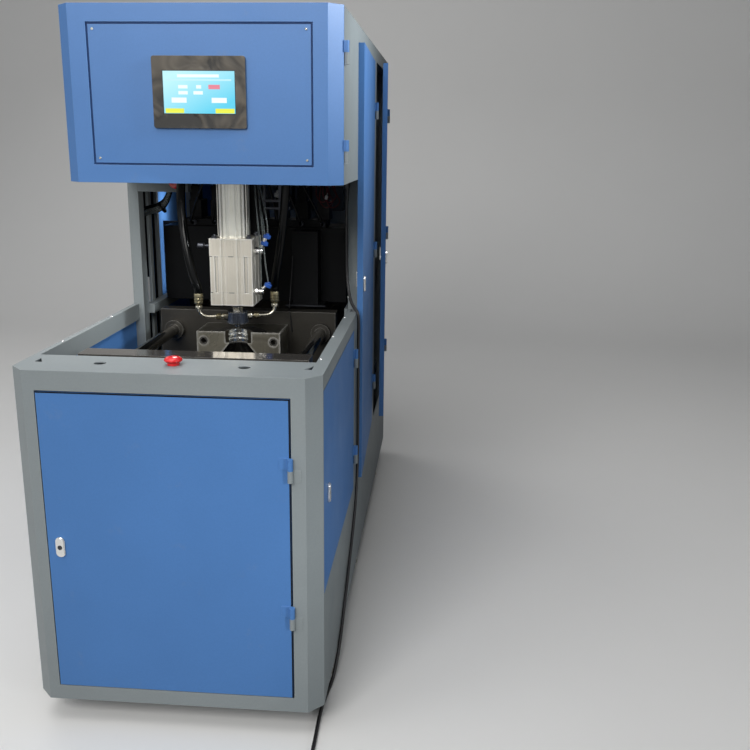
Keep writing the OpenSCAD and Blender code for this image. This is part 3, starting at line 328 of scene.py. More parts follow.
def anodised(name, pale, painted_shade_from=None):
    """Extruded aluminium, pale times its usual tone; a pale above 1 is painted light. On the front,
    beyond painted_shade_from beside the blow axis, a dark band is painted as the shade of a corner
    that turns away, with a painted highlight, a bright line, just inside it."""
    p = Paint(name)
    lines = p.noise(60, 3.0, 0.6, p.scaled(30, 30, 0.15))
    low, high = shade(lin(222, 215, 200), pale), shade(lin(231, 225, 211), pale)
    tone = p.mix(p.range(lines, 0.35, 0.65, 0, 1), low, high)
    tone = p.mix(p.range(p.noise(6, 4.0), 0.5, 0.8, 0, 0.3), tone, lin(184, 177, 162))
    # Paler, less metallic edges: partly bare chamfers, partly a painted highlight.
    edge = p.math("MULTIPLY", p.edges(0.007), 0.9)
    if painted_shade_from:
        front = p.math("GREATER_THAN", p.math("ABSOLUTE", p.facing("Y")), 0.7)
        off = p.math("ABSOLUTE", p.math("SUBTRACT", p.axis(p.coord, "X"), P(0, 0, 0).x))
        corner_shade = p.math("MULTIPLY", p.math("GREATER_THAN", off, painted_shade_from), front)
        # Painted highlight: a bright line 3 mm wide just inside painted_shade_from on the front.
        rim_highlight = p.math("MULTIPLY", p.math("GREATER_THAN", off, painted_shade_from - 0.003), front)
        edge = p.math("MAXIMUM", edge, p.math("MULTIPLY", rim_highlight, 0.8))
    tone = p.mix(edge, tone, lin(253, 251, 246))
    # Painted shade: grooves and corners are darkened.
    tone = p.mix(p.math("MULTIPLY", p.hollows(0.004), 0.7), tone, lin(86, 80, 70))
    if painted_shade_from:
        # Painted shade: the front beyond painted_shade_from is made dark.
        tone = p.mix(corner_shade, tone, lin(44, 42, 38))
    p.bump(lines, 0.04, 0.0003)
    return p.set(color=tone, metal=p.blend(edge, 0.72, 0.3),
                 rough=p.range(lines, 0.3, 0.7, 0.27, 0.36))


def moulded(name, base, rough=0.4, grain=900, strength=0.1, coat=0.0, spec=0.4):
    """Plastic or rubber with a fine grain."""
    p = Paint(name)
    tone = p.mix(p.noise(35, 4.0, 0.7), shade(base, 0.82), shade(base, 1.15))
    p.bump(p.noise(grain, 3.0), strength, 0.0004)
    roughness = p.range(p.noise(20, 4.0), 0.3, 0.7, rough - 0.06, rough + 0.08)
    return p.set(color=tone, rough=roughness, coat=coat, coat_rough=0.1, spec=spec)


def filmed_plastic(name):
    """Black plastic with a creased protective film on its front, paler along its creases as a
    painted highlight.
    """
    p = Paint(name)
    crease_glint = p.noise(15, 2.0, 0.5, distortion=1.2)
    crease_glint = p.math("MULTIPLY", crease_glint, p.math("LESS_THAN", p.facing("Y"), -0.7))
    # Painted highlight: the film is paler where it creases.
    tone = p.mix(p.range(crease_glint, 0.4, 0.68, 0, 1), lin(36, 33, 28), lin(98, 90, 78))
    p.bump(crease_glint, 0.8, 0.003)
    roughness = p.range(crease_glint, 0.3, 0.7, 0.1, 0.26)
    return p.set(color=tone, rough=roughness, coat=0.7, coat_rough=0.06)


def tube_plastic(name):
    """Clear tube."""
    p = Paint(name)
    tone = p.mix(p.noise(25, 3.0), lin(150, 158, 158), lin(190, 198, 197))
    p.bump(p.noise(300, 2.0), 0.05, 0.0004)
    return p.set(color=tone, rough=0.12, trans=0.8, ior=1.3, coat=0.2, coat_rough=0.06)


def screen_face(name):
    """Lit display with plain blocks: a title and a line, two rows of values, two keys, a footer."""
    p = Paint(name)
    lo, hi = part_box("hmi_screen")
    u = p.range(p.axis(p.coord, "X"), lo.x, hi.x, 0, 1)
    v = p.range(p.axis(p.coord, "Z"), lo.z, hi.z, 0, 1)
    glare = p.math("SUBTRACT", p.math("MULTIPLY", v, 0.9), p.math("MULTIPLY", u, 0.8))
    tone = p.mix(p.range(glare, -0.5, 0.7, 0, 1), lin(80, 200, 230), lin(190, 238, 244))
    tone = p.mix(p.range(p.noise(18, 2.0), 0.3, 0.7, 0, 0.1), tone, lin(150, 222, 238))

    def inside(u0, u1, v0, v1):
        across = p.math("MULTIPLY", p.math("GREATER_THAN", u, u0), p.math("LESS_THAN", u, u1))
        upward = p.math("MULTIPLY", p.math("GREATER_THAN", v, v0), p.math("LESS_THAN", v, v1))
        return p.math("MULTIPLY", across, upward)

    white, key, pale_blue = (236, 250, 250), (238, 242, 246), (190, 232, 240)
    yellow, rose = (230, 232, 30), (226, 120, 136)
    blocks = [((0.2, 0.78, 0.85, 0.92), white), ((0.04, 0.95, 0.77, 0.81), pale_blue),
              ((0.21, 0.34, 0.59, 0.67), white), ((0.46, 0.53, 0.59, 0.67), white),
              ((0.63, 0.79, 0.575, 0.68), rose), ((0.21, 0.34, 0.45, 0.53), white),
              ((0.42, 0.55, 0.45, 0.53), white), ((0.11, 0.32, 0.255, 0.375), key),
              ((0.67, 0.88, 0.255, 0.375), key), ((0.02, 0.28, 0.01, 0.12), yellow),
              ((0.72, 0.985, 0.01, 0.12), yellow)]
    for area, colour in blocks:
        tone = p.mix(inside(*area), tone, lin(*colour))
    return p.set(color=lin(30, 60, 70), rough=0.12, glow_color=tone, glow=1.08, coat=0.4,
                 coat_rough=0.04)


BLUE, WORN_BLUE = lin(82, 128, 188), lin(122, 160, 205)
GREY, WORN_GREY = lin(142, 149, 151), lin(176, 180, 180)
M = {}  # materials by the short names that Form.done and FINISH use
M["blue"] = powder_coat("blue_powder_coat", BLUE, WORN_BLUE)
# Dark blue painted shade, for the strip round the head's panel.
M["painted_blue_shade"] = powder_coat("blue_shaded_coat", lin(26, 50, 92), lin(60, 90, 140))
M["blue_head"] = powder_coat("blue_gloss_coat", BLUE, WORN_BLUE, 0.36, 0.5)
M["grey"] = powder_coat("grey_powder_coat", GREY, WORN_GREY)
M["black"] = dark_paint("black_paint", lin(11, 12, 14), 0.42)
M["tank"] = dark_paint("tank_enamel", lin(58, 68, 84), 0.3)
M["platen"] = machined("platen_steel", lin(68, 65, 59), lin(40, 38, 34), 0.42, wear=0.4, metal=0.5)
M["bright_top"] = machined("rubbed_platen_steel", lin(104, 100, 94), lin(56, 52, 47), 0.4, wear=0.6,
                           top=(0.07, lin(150, 145, 140)))
# Mould steel: its wide bright edges are partly a painted highlight, and its cavity walls are
# darkened as painted shade.
for key, y in (("mould", AXIS_Y), ("front_mould", FRONT_MOULD_Y)):
    M[key] = machined(key + "_steel", lin(142, 137, 122), lin(66, 61, 52), 0.34, streak=(60, 1, 1),
                      wear=1.0, metal=0.5, oil=0.5, top=(0.3, lin(40, 38, 34)), bore=y, bright_edge_reach=0.01)
M["neck"] = neck_steel("neck_steel", AXIS_Y)
M["front_neck"] = neck_steel("front_neck_steel", FRONT_MOULD_Y)
M["gun"] = machined("nozzle_steel", lin(92, 98, 110), lin(48, 52, 62), 0.22, wear=1.0, metal=0.75,
                    oil=0.3)
M["bar"] = chromed("oiled_bar_chrome", lin(150, 150, 148), 0.07)
M["ground"] = machined("ground_steel", lin(168, 165, 158), lin(120, 114, 104), 0.3, wear=0.4,
                       oil=0.2)
M["chrome"] = chromed("chrome")
# Painted light: the clamp and seal cylinders' tone is raised 1.08 times and the stretch cylinder's
# 1.45 times, the latter with painted shade and a painted highlight beside its axis.
M["alu"] = anodised("anodised_aluminium", 1.08)
M["stretch_alu"] = anodised("stretch_cylinder_aluminium", 1.45, 0.0315)
M["brass"] = chromed("nickel_brass", lin(166, 157, 128), 0.22, 0.9)
M["zinc"] = machined("galvanised_sheet", WORN_GREY, lin(150, 154, 154), 0.4, streak=(1, 1, 1),
                     wear=0.2, oil=0.25, metal=0.7)
M["switchgear"] = moulded("switchgear_plastic", lin(66, 68, 72), 0.45)
M["red"] = moulded("red_cap_plastic", lin(226, 26, 30), 0.24, 200, 0.03, 0.4)
M["plastic"] = moulded("black_plastic", lin(30, 30, 32), 0.42)
M["bezel"] = filmed_plastic("bezel_plastic")
M["blue_cap"] = moulded("blue_cap_plastic", lin(44, 96, 188), 0.3, 300, 0.04, 0.2)
M["screen"] = screen_face("lit_screen")
M["clear"] = tube_plastic("clear_tube")
M["rubber"] = moulded("hose_rubber", lin(4, 5, 6), 0.1, 500, 0.03, spec=0.16)
M["wire_red"] = moulded("red_wire", lin(92, 18, 20), 0.4)
M["cable"] = moulded("cable_rubber", lin(18, 18, 20), 0.45, 900, 0.15)
M["nickel"] = chromed("nickel", lin(214, 208, 190), 0.2, 0.95)
M["dark_steel"] = chromed("dark_steel", lin(70, 72, 78), 0.3, 0.85)
M["white"] = moulded("white_plastic", lin(226, 226, 222), 0.45, 700, 0.08)

FINISH = {
    "grey": ["base_front", "base_frame", "side_rails", "lower_skirts", "columns", "cabinet_frame",
             "cabinet_top", "rear_panel", "head_sides", "frame_hinges"],
    "blue": ["left_panels", "front_door", "side_door", "cabinet_door_1", "cabinet_door_2"],
    "blue_head": ["head_cover", "hmi_panel"],
    "black": ["cylinder_bracket", "valve_box"],
    "plastic": ["stop_block", "cable_plug", "cable_gland"],
    "platen": ["clamp_bed", "fixed_platen", "crosshead", "slide_bushes"],
    "bright_top": ["moving_platen"], "bar": ["tie_bars"], "gun": ["seal_nozzle"],
    "mould": ["rear_mould_half"], "front_mould": ["front_mould_half"],
    "neck": ["rear_neck_ring"], "front_neck": ["front_neck_ring"],
    "ground": ["levelling_feet", "base_plug", "tie_bar_nuts"],
    "chrome": ["clamp_rod", "stretch_rod", "controller_bodies", "front_lock", "side_lock",
               "cabinet_lock_1", "cabinet_lock_2"],
    "alu": ["clamp_cylinder", "seal_cylinder"], "stretch_alu": ["stretch_cylinder"],
    "brass": ["guide_pins", "elbow_pipes"], "tank": ["air_tank"], "zinc": ["electrics_plate"],
    "switchgear": ["contactors"], "clear": ["air_tubes"], "blue_cap": ["controller_heads"],
    "rubber": ["air_hoses"], "cable": ["cable", "cable_coil"], "bezel": ["hmi_bezel"],
    "screen": ["hmi_screen"], "red": ["stop_button", "upper_button"],
}
SHEET = FINISH["grey"] + FINISH["blue"] + FINISH["blue_head"]
NO_SOFT_EDGE = ("air_hoses", "air_tubes", "cable", "cable_coil", "elbow_pipes", "hmi_screen")


def dress_nodes():
    """A material on each CAD object, and soft edges on all but the round and replaced ones."""
    for key, names in FINISH.items():
        for name in names:
            NODE[name].data.materials.clear()
            NODE[name].data.materials.append(M[key])
    for name, node in NODE.items():
        if name in NO_SOFT_EDGE:
            continue
        weld = node.modifiers.new("weld", "WELD")
        weld.merge_threshold = 0.00002
        flat = node.modifiers.new("flat", "DECIMATE")
        flat.decimate_type, flat.angle_limit = "DISSOLVE", math.radians(0.6)
        soft = node.modifiers.new("bevel", "BEVEL")
        soft.width = 0.0008 if name in SHEET else 0.0005
        soft.segments, soft.limit_method, soft.angle_limit = 2, "ANGLE", math.radians(32)
        node.data.shade_smooth()
        even = node.modifiers.new("even", "WEIGHTED_NORMAL")
        even.mode, even.weight, even.keep_sharp = "FACE_AREA_WITH_ANGLE", 100, False


def smooth_curve(points, n):
    """Points on a Catmull-Rom curve, n to a span."""
    points = [Vector(p) for p in points]
    out = []
    last = len(points) - 1
    for i in range(last):
        a, b = points[max(i - 1, 0)], points[i]
        c, d = points[i + 1], points[min(i + 2, last)]
        for k in range(n):
            t = k / n
            out.append(0.5 * ((2 * b) + (c - a) * t + (2 * a - 5 * b + 4 * c - d) * t * t
                              + (3 * b - a - 3 * c + d) * t * t * t))
    return out + [points[-1]]


class Form:
    """One mesh made of several simple forms, in millimetres of the machine."""

    def __init__(self):
        self.verts, self.faces = [], []

    def add(self, verts, faces):
        at = len(self.verts)
        self.verts += verts
        self.faces += [tuple(i + at for i in f) for f in faces]
        return self

    def box(self, x0, x1, y0, y1, z0, z1):
        v = [Vector((x, y, z)) for x in (x0, x1) for y in (y0, y1) for z in (z0, z1)]
        return self.add(v, [(0, 1, 3, 2), (4, 6, 7, 5), (0, 4, 5, 1), (2, 3, 7, 6), (0, 2, 6, 4),
                            (1, 5, 7, 3)])

    def lathe(self, at, way, rings, sides=24, turn=0.0):
        """A turned form along way. Its rings are (radius, height), or (radius, height, n) for a
        ring of n corners."""
        turned = Vector(way).to_track_quat("Z", "Y").to_matrix()
        at = Vector(at)
        verts, faces = [], []
        for ring in rings:
            for k in range(sides):
                a = 2 * math.pi * k / sides
                r = ring[0]
                if len(ring) > 2:
                    step = 2 * math.pi / ring[2]
                    r *= math.cos(step / 2) / math.cos((a % step) - step / 2)
                a += turn
                verts.append(at + turned @ Vector((r * math.cos(a), r * math.sin(a), ring[1])))
        for i in range(len(rings) - 1):
            for k in range(sides):
                a, b = i * sides + k, i * sides + (k + 1) % sides
                faces.append((a, b, b + sides, a + sides))
        faces.append(tuple(range(sides - 1, -1, -1)))
        faces.append(tuple(range((len(rings) - 1) * sides, len(rings) * sides)))
        return self.add(verts, faces)

    def sweep(self, points, radius, sides, start=(0, 1, 0)):
        """A round tube along points. start is a direction across its first end."""
        n = len(points)
        ways = [(points[min(i + 1, n - 1)] - points[max(i - 1, 0)]).normalized() for i in range(n)]
        side = Vector(start)
        verts, faces = [], []
        for i in range(n):
            side = (side - ways[i] * side.dot(ways[i])).normalized()
            other = ways[i].cross(side)
            for k in range(sides):
                a = 2 * math.pi * k / sides
                verts.append(points[i] + radius * (math.cos(a) * side + math.sin(a) * other))
        for i in range(n - 1):
            for k in range(sides):
                a, b = i * sides + k, i * sides + (k + 1) % sides
                faces.append((a, b, b + sides, a + sides))
        faces.append(tuple(range(sides - 1, -1, -1)))
        faces.append(tuple(range((n - 1) * sides, n * sides)))
        return self.add(verts, faces)

    def screw(self, at, way, r, tall):
        """Button head with a hexagon socket, each turned its own way."""
        turn = (at[0] * 0.7 + at[2] * 0.3) % 1.0
        rings = [(r, 0), (r, tall * 0.25), (r * 0.9, tall * 0.7), (r * 0.66, tall), (r * 0.5, tall),
                 (r * 0.46, tall * 0.9, 6), (r * 0.46, tall * 0.3, 6)]
        return self.lathe(at, way, rings, 24, turn)

    def cap_screw(self, at, way, r, tall):
        """Cylinder head with a hexagon socket, each turned its own way."""
        turn = (at[0] * 0.7 + at[2] * 0.3) % 1.0
        rings = [(r, 0), (r, tall - 0.6), (r - 0.6, tall), (r * 0.62, tall),
                 (r * 0.56, tall - 0.5, 6), (r * 0.56, tall * 0.4, 6)]
        return self.lathe(at, way, rings, 24, turn)

    def nut(self, at, way, r, tall):
        """Hexagon nut, r across its corners."""
        turn = (at[0] * 0.5 + at[2] * 0.7) % 1.0
        rings = [(r * 0.9, 0), (r, tall * 0.12, 6), (r, tall * 0.85, 6), (r * 0.88, tall)]
        return self.lathe(at, way, rings, 24, turn)

    def done(self, name, finish, body="frame", smooth=35, bevel=0.0, slot=None):
        """The mesh as an object on its body, smooth up to that angle, with edges bevelled in mm."""
        mesh = bpy.data.meshes.new(name)
        mesh.from_pydata([tuple(P(*v)) for v in self.verts], [], self.faces)
        mesh.update()
        piece = link(bpy.data.objects.new(name, mesh))
        if bevel:
            m = piece.modifiers.new("bevel", "BEVEL")
            m.width, m.segments = bevel / 1000, 2
            m.limit_method, m.angle_limit = "ANGLE", math.radians(40)
        mesh.shade_smooth()
        with bpy.context.temp_override(object=piece, active_object=piece, selected_objects=[piece],
                                       selected_editable_objects=[piece]):
            bpy.ops.object.shade_smooth_by_angle(angle=math.radians(smooth))
        mesh.materials.append(M[finish])
        if body:
            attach(piece, body)
        return piece


def round_nozzle(side, out, z):
    """A point at distance out from the blow axis, on the line of the nozzle's two fittings."""
    out *= side
    return Vector((out * math.cos(NOZZLE_TURN), AXIS_Y + out * math.sin(NOZZLE_TURN), z))


HOSES = {
    "hose_right": [(92.25, 663.97, 822), (92.25, 663.97, 831), (92.25, 663.97, 839), (96, 662, 865),
                   (104, 659, 908), (114, 652, 963), (124, 643, 1033), (131, 634, 1095),
                   (131, 634, 1130), (131, 634, 1154), (131, 634, 1166)],
    "hose_left": [(-92.25, 604.03, 822), (-92.25, 604.03, 831), (-94, 604, 842), (-101.5, 605, 862),
                  (-110, 609, 890), (-119, 615, 924), (-126, 622, 958), (-132, 629, 993),
                  (-135.5, 633, 1028), (-136, 634, 1062), (-134, 634, 1094), (-131, 634, 1126),
                  (-131, 634, 1154), (-131, 634, 1166)],
}


def make_hoses():
    """Air hoses from the nozzle's ferrules to the bracket."""
    for name, line in HOSES.items():
        form = Form().sweep(smooth_curve(line, 7), 11.0, 24)
        hose = form.done(name, "rubber", body=None, smooth=60, slot="hose_rubber")
        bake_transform(hose)
        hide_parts("air_hoses")


def make_nozzle_fittings():
    """Bent pipes with their nuts, the crimped ferrules of the hoses and the nozzle's upper nut."""
    bright, brass = Form(), Form()
    z, out = 763.5, 97  # height of the pipes, and distance of the ferrules from the blow axis
    crimp = [(11.8, 9), (11.8, 13), (11.0, 14), (11.0, 16), (11.8, 17), (11.8, 21), (11.0, 22),
             (11.0, 24), (11.8, 25), (11.8, 31)]
    for side in (1, -1):
        way = (side * math.cos(NOZZLE_TURN), side * math.sin(NOZZLE_TURN), 0)
        bend = [(34, z), (50, z), (72, z), (85, z + 3), (94, z + 11), (out, z + 20), (out, 794)]
        bright.sweep(smooth_curve([round_nozzle(side, *v) for v in bend], 6), 4.6, 16)
        bright.nut(round_nozzle(side, 25.2, z), way, 10, 11)
        bright.lathe(round_nozzle(side, 36, z), way, [(7.4, 0), (7.4, 3), (6.2, 4.5)])
        brass.nut(round_nozzle(side, 42, z), way, 8.6, 12)
        bright.lathe(round_nozzle(side, 54, z), way, [(5.4, 0), (6.2, 0.6), (6.2, 3), (5.2, 4)])
        brass.lathe(round_nozzle(side, out, 790.4), (0, 0, 1),
                    [(6, 0), (8, 1), (8, 5), (10.6, 7)] + crimp + [(11.3, 34), (10.8, 34.5)], 32)
        bright.nut(round_nozzle(side, out, 786), (0, 0, 1), 9.8, 7)
    bright.lathe((0, AXIS_Y, 776.8), (0, 0, 1),
                 [(12.4, 0, 6), (14.3, 1, 6), (14.3, 9.8, 6), (12.6, 11, 6), (10.9, 11.1)])
    fittings = bright.done("nozzle_bright_fittings", "nickel", "nozzle", bevel=0.3,
                           slot="pipe_brass")
    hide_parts("elbow_pipes")
    brass.done("nozzle_brass_fittings", "brass", "nozzle", bevel=0.3, slot="pipe_brass")


AIR_LINES = [
    (1.9, [(86, 614, 974), (87, 614, 984), (85, 616, 1006), (77, 622, 1050), (66, 630, 1100),
           (57, 640, 1150), (52, 646, 1200)]),
    (1.9, [(84.5, 614, 852), (85, 614, 862), (80, 616, 896), (74, 622, 946), (68, 630, 1010),
           (60, 642, 1090), (54, 652, 1150), (50, 656, 1200)]),
    (1.9, [(79, 614, 957), (79.4, 615, 968), (72, 634, 1000), (63, 644, 1050), (56, 650, 1110),
           (48, 656, 1160), (45, 660, 1200)]),
    (1.4, [(68, 607, 934), (69, 604, 965), (64, 607, 1010), (58, 614, 1075), (52, 628, 1140),
           (46, 636, 1200)]),
    (1.4, [(66, 608, 832), (70, 606, 868), (68, 606, 930), (62, 612, 1010), (54, 624, 1100),
           (48, 634, 1200)]),
]


def make_controllers():
    """Speed controls with blue knobs on the right of the seal cylinder, and their tubes."""
    bright, rings, tubes = Form(), Form(), Form()
    knob = [(6.5, 0), (9.4, 1), (9.4, 8), (8.4, 9.4), (4.4, 9.6), (4.2, 13)]
    for z, tops in ((934, ((84, 970), (77, 953))), (832, ((83, 848),))):
        bright.nut((53.5, PORT_Y, z), (1, 0, 0), 9.5, 6)
        bright.lathe((59, PORT_Y, z), (1, 0, 0), [(6, 0), (8.4, 1), (8.4, 13), (6.5, 15)])
        for x, high in tops:
            foot = Vector((66, PORT_Y, z))
            stem = Vector((x, PORT_Y, high)) - foot
            way = stem.normalized()
            bright.lathe(foot, way, [(4.8, 0), (4.8, stem.length - 3)], 20)
            rings.lathe((x, PORT_Y, high - 5), (way.x * 0.5, 0, way.z), knob, 32)
    chrome = bright.done("controller_metal", "chrome", "frame", bevel=0.3, slot="chrome_steel")
    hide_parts("controller_bodies")
    blue = rings.done("controller_rings", "blue_cap", "frame", slot="blue_plastic")
    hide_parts("controller_heads")
    for radius, line in AIR_LINES:
        tubes.sweep(smooth_curve(line, 8), radius, 12)
    clear = tubes.done("clear_tubes", "clear", "frame", smooth=60, slot="clear_tube")
    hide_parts("air_tubes")


def make_cylinder_details():
    """Port plug, stud nuts, sensor rails and the seams of the two aluminium cylinders."""
    nuts = Form()
    for x in (-43, 43):
        for y in (AXIS_Y - 43, AXIS_Y + 43):
            nuts.lathe((x, y, 966), (0, 0, 1), [(6.5, 0), (6.8, 0.6, 6), (6.8, 5.4, 6), (6.0, 6),
                                                (3.4, 6), (3.4, 8.6), (2.8, 9.2)])
    plug = Form()
    plug.nut((-54, PORT_Y, 944), (-1, 0, 0), 9, 6)
    plug.lathe((-60, PORT_Y, 944), (-1, 0, 0),
               [(4.2, 0), (4.2, 14), (7.6, 15), (8.4, 17), (8.4, 30), (6.5, 32)], 28)
    plug.done("port_plug", "dark_steel", "frame", bevel=0.3, slot="chrome_steel")
    nuts.done("cylinder_nuts", "dark_steel", "frame", bevel=0.3, slot="chrome_steel")
    rail = Form()
    rail.box(34.5, 37.5, 606, 612, 968, 1178)
    rail.box(-37.5, -35.2, 606, 609, 968, 1178)
    rail.done("sensor_rails", "alu", "frame", bevel=0.5, slot="cylinder_aluminium")
    seams = Form()
    seal_front = AXIS_Y - 54
    for z0, z1 in ((830.6, 832.0), (921.2, 922.6)):
        for x0, x1 in ((-53.6, -47.5), (-6.5, 6.5)):
            seams.box(x0, x1, seal_front - 0.05, seal_front + 1, z0, z1)
    seams.done("cylinder_seams", "dark_steel", "frame", slot="mould_steel")


def make_left_trunking():
    """Upright profiles on the left wall, black boxes as painted shadow in the gap between each and
    the wall, a plain white strip, and tied tubes.
    """
    foot, top = 385, 1104
    posts, gap_shadow = Form(), Form()
    posts.box(-284, -277, 800, 824, foot, top)
    posts.box(-294, -285.5, 898, 914, foot, top)
    posts.done("left_profiles", "grey", "frame", bevel=0.8, slot="grey_coat")
    # Painted shadow: black boxes fill the gap between the wall and each post.
    gap_shadow.box(WALL_X, -284.1, 802, 823, foot, top)
    gap_shadow.box(WALL_X, -294.1, 900, 913, foot, top)
    gap_shadow.done("left_gap_shadow", "black", "frame", slot="black_plastic")
    strip = Form().box(-289, -284.2, 799.4, 801.9, 762, 833)
    strip.done("label_strip", "white", "frame", bevel=0.4)
    dark, pale = Form(), Form()
    for k in range(5):
        y, z = 782 + 7 * (k % 3), 1050 + 8 * (k // 2)
        line = [(-300, y + 24, z - 56), (-280, y + 10, z - 44), (-250, y, z - 36),
                (-226, y, z - 20), (-210, y, z + 16), (-204, y, z + 70)]
        form, radius = (pale, 4.0) if k in (0, 3) else (dark, 5.0)
        form.sweep(smooth_curve(line, 8), radius, 12)
    dark.lathe((-236, 789, 1023), (0.8, 0, 0.5), [(15, 0), (16, 0.5), (16, 4.5), (15, 5)])
    dark.done("left_tubes_dark", "rubber", "frame", smooth=60, slot="hose_rubber")
    pale.done("left_tubes_clear", "clear", "frame", smooth=60, slot="clear_tube")


def make_bay_details():
    """Screws, a flange and a loose wire seen behind and beside the mould."""
    column_face, bolt_x, rear_face, front_face = 276.6, 150, 750, 210
    small = Form()
    for z in (1082, 800):
        small.screw((column_face, 738, z), (-1, 0, 0), 4.5, 3)
    for x, y in ((284, 155), (282, 372), (282, 600), (-298.5, 250), (-298.5, 540)):
        small.screw((x, y, DECK_Z), (0, 0, 1), 3.0, 1.8)
    small.done("bay_screws", "chrome", "frame", slot="chrome_steel")
    for name, y, heights, body in (
            ("platen_screws", rear_face, (560, 440), "frame"),
            ("moving_platen_screws", front_face, (724, 560, 440), "clamp")):
        caps = Form()
        for x in (-bolt_x, bolt_x):
            for z in heights:
                caps.cap_screw((x, y, z), (0, -1, 0), 8, 8)
        caps.done(name, "dark_steel", body, bevel=0.3, slot="mould_steel")
    edge = Form().box(98, 208, 784, 790.5, 764.4, 767)
    edge.done("box_flange", "dark_steel", "frame", bevel=0.4, slot="mould_steel")
    line = [(118, 796, 900), (116, 793, 860), (112, 786, 800), (111, 776, 772), (112, 768, 758),
            (116, 749, 752), (119, 747, 736), (122, 747.4, 700)]
    wire = Form().sweep(smooth_curve(line, 8), 1.5, 8)
    wire.done("hanging_wire", "cable", "frame", smooth=60, slot="cable_rubber")


def make_upper_bay():
    """Valve manifold with its coils and silencers, seen dimly under the head."""
    body, coils, bright, tubes = Form(), Form(), Form(), Form()
    body.box(-200, 200, 870, 950, 970.3, 990)
    for k in range(7):
        x = -186 + 60 * k
        port = x + 17
        body.box(x, x + 34, 880, 944, 990, 1040)
        coils.box(x + 4, x + 30, 878, 912, 1040, 1078)
        coils.box(x + 8, x + 26, 884, 906, 1078, 1090)
        bright.nut((port, 868.6, 980), (0, -1, 0), 7, 6)
        bright.lathe((port, 863, 980), (0, -1, 0), [(4, 0), (4.6, 0.6), (4.6, 9), (3, 10)], 20)
        line = [(port, 858, 980), (port, 846, 980), (port + 1, 832, 990),
                (x + 14 - 0.12 * x, 826, 1040), (x + 10 - 0.3 * x, 812, 1110),
                (x - 0.45 * x, 790, 1190)]
        tubes.sweep(smooth_curve(line, 7), 3.2, 10)
    body.done("valve_manifold", "black", "frame", bevel=0.8, slot="black_plastic")
    coils.done("valve_coils", "black", "frame", bevel=1.2, slot="black_plastic")
    bright.done("valve_fittings", "dark_steel", "frame", slot="mould_steel")
    pale = Form()
    for x, z, r in ((78, 1056, 8), (94, 1005, 9), (210, 1052, 4)):
        pale.lathe((x, 790, z), (0.25, 0, 1),
                   [(r - 2, 0), (r, 1), (r, 10), (r - 3, 11), (r - 3, 17), (r - 4, 19)])
    pale.done("silencers", "white", "frame", slot="black_plastic")
    wires = Form()
    for k in range(4):
        x, z = 200 + 9 * k, 1050 - 14 * (k % 2)
        line = [(x - 14, 812, z + 60), (x - 18, 806, z + 14), (x, 800, z - 6),
                (x + 18, 804, z + 10), (x + 8, 812, z + 30), (x - 6, 816, z + 80)]
        wires.sweep(smooth_curve(line, 8), 1.5, 8)
    wires.done("red_wires", "wire_red", "frame", smooth=60, slot="cable_rubber")
    tubes.done("valve_tubes", "rubber", "frame", smooth=60, slot="hose_rubber")
    bars = Form()
    bars.box(62, 128, 700, 706, 1049, 1055)
    bars.box(62, 128, 700, 706, 1030, 1036)
    bars.box(98, 112, 706, 718, 1000, 1100)
    bars.box(60, 66, 700, 729, 1022, 1180)
    bars.done("hose_guides", "dark_steel", "frame", bevel=0.6, slot="mould_steel")


def lock_core(name, at, way, body):
    """Turning core with a three-sided hole, on the face of an oval lock."""
    rings = [(4.6, 0), (4.6, 1.5), (4.0, 2.0), (2.6, 2.0), (2.4, 1.6, 3), (2.4, 0.2, 3)]
    Form().lathe(at, way, rings).done(name, "dark_steel", body, slot="mould_steel")


def make_locks():
    """Cores of the four oval locks. The two tall doors stand ajar, and their cores with them."""
    lock_face, pivot_x = 308.7, 310.5
    lock_core("front_lock_core", (-224, -3.7, 406), (0, -1, 0), "front_door_lock")
    lock_core("side_lock_core", (lock_face, 96, 507), (1, 0, 0), "side_door_lock")
    for side, hinge_y, lock_y, ajar in (("forward", 1206, 712, 1.6), ("rear", 1751, 1279, 4.0)):
        c, s = math.cos(math.radians(ajar)), math.sin(math.radians(ajar))
        dx, dy = lock_face - pivot_x, lock_y - hinge_y
        at = (pivot_x + dx * c - dy * s, hinge_y + dx * s + dy * c, 842)
        lock_core(side + "_lock_core", at, (c, s, 0), side + "_cabinet_lock")


def make_panel_screws():
    """Screws at the corners of the screen's panel and down both edges of the rear panel."""
    panel_face, rear_face = 342.6, 1785.4
    heads, back = Form(), Form()
    for x in (-223, 230):
        for z in (1161, 1424):
            heads.screw((x, panel_face, z), (0, -1, 0), 2.8, 2.0)
    heads.done("panel_screws", "nickel", "head_door", slot="chrome_steel")
    for x in (-290, 290):
        for z in (80, 500, 980, 1455):
            back.screw((x, rear_face, z), (0, 1, 0), 2.4, 1.5)
    back.done("rear_panel_screws", "chrome", "frame", slot="chrome_steel")


def make_bezel_frame():
    """A fine lip round the screen."""
    lip = Form()
    y0, y1, thick = 336.15, 337.1, 1.4
    x0, x1, z0, z1 = -76.3, 80.3, 1253.7, 1342.3
    lip.box(x0, x1, y0, y1, z0, z0 + thick)
    lip.box(x0, x1, y0, y1, z1 - thick, z1)
    lip.box(x0, x0 + thick, y0, y1, z0, z1)
    lip.box(x1 - thick, x1, y0, y1, z0, z1)
    lip.done("screen_lip", "plastic", "head_door", bevel=0.3, slot="black_plastic")


def make_head_rim():
    """Folded edge of the head's front that closes its top."""
    rim_highlight = Form().box(-243, 243, 358, 372, 1473, 1474.6)
    rim_highlight.done("head_rim", "blue_head", "head_door", slot="blue_coat")


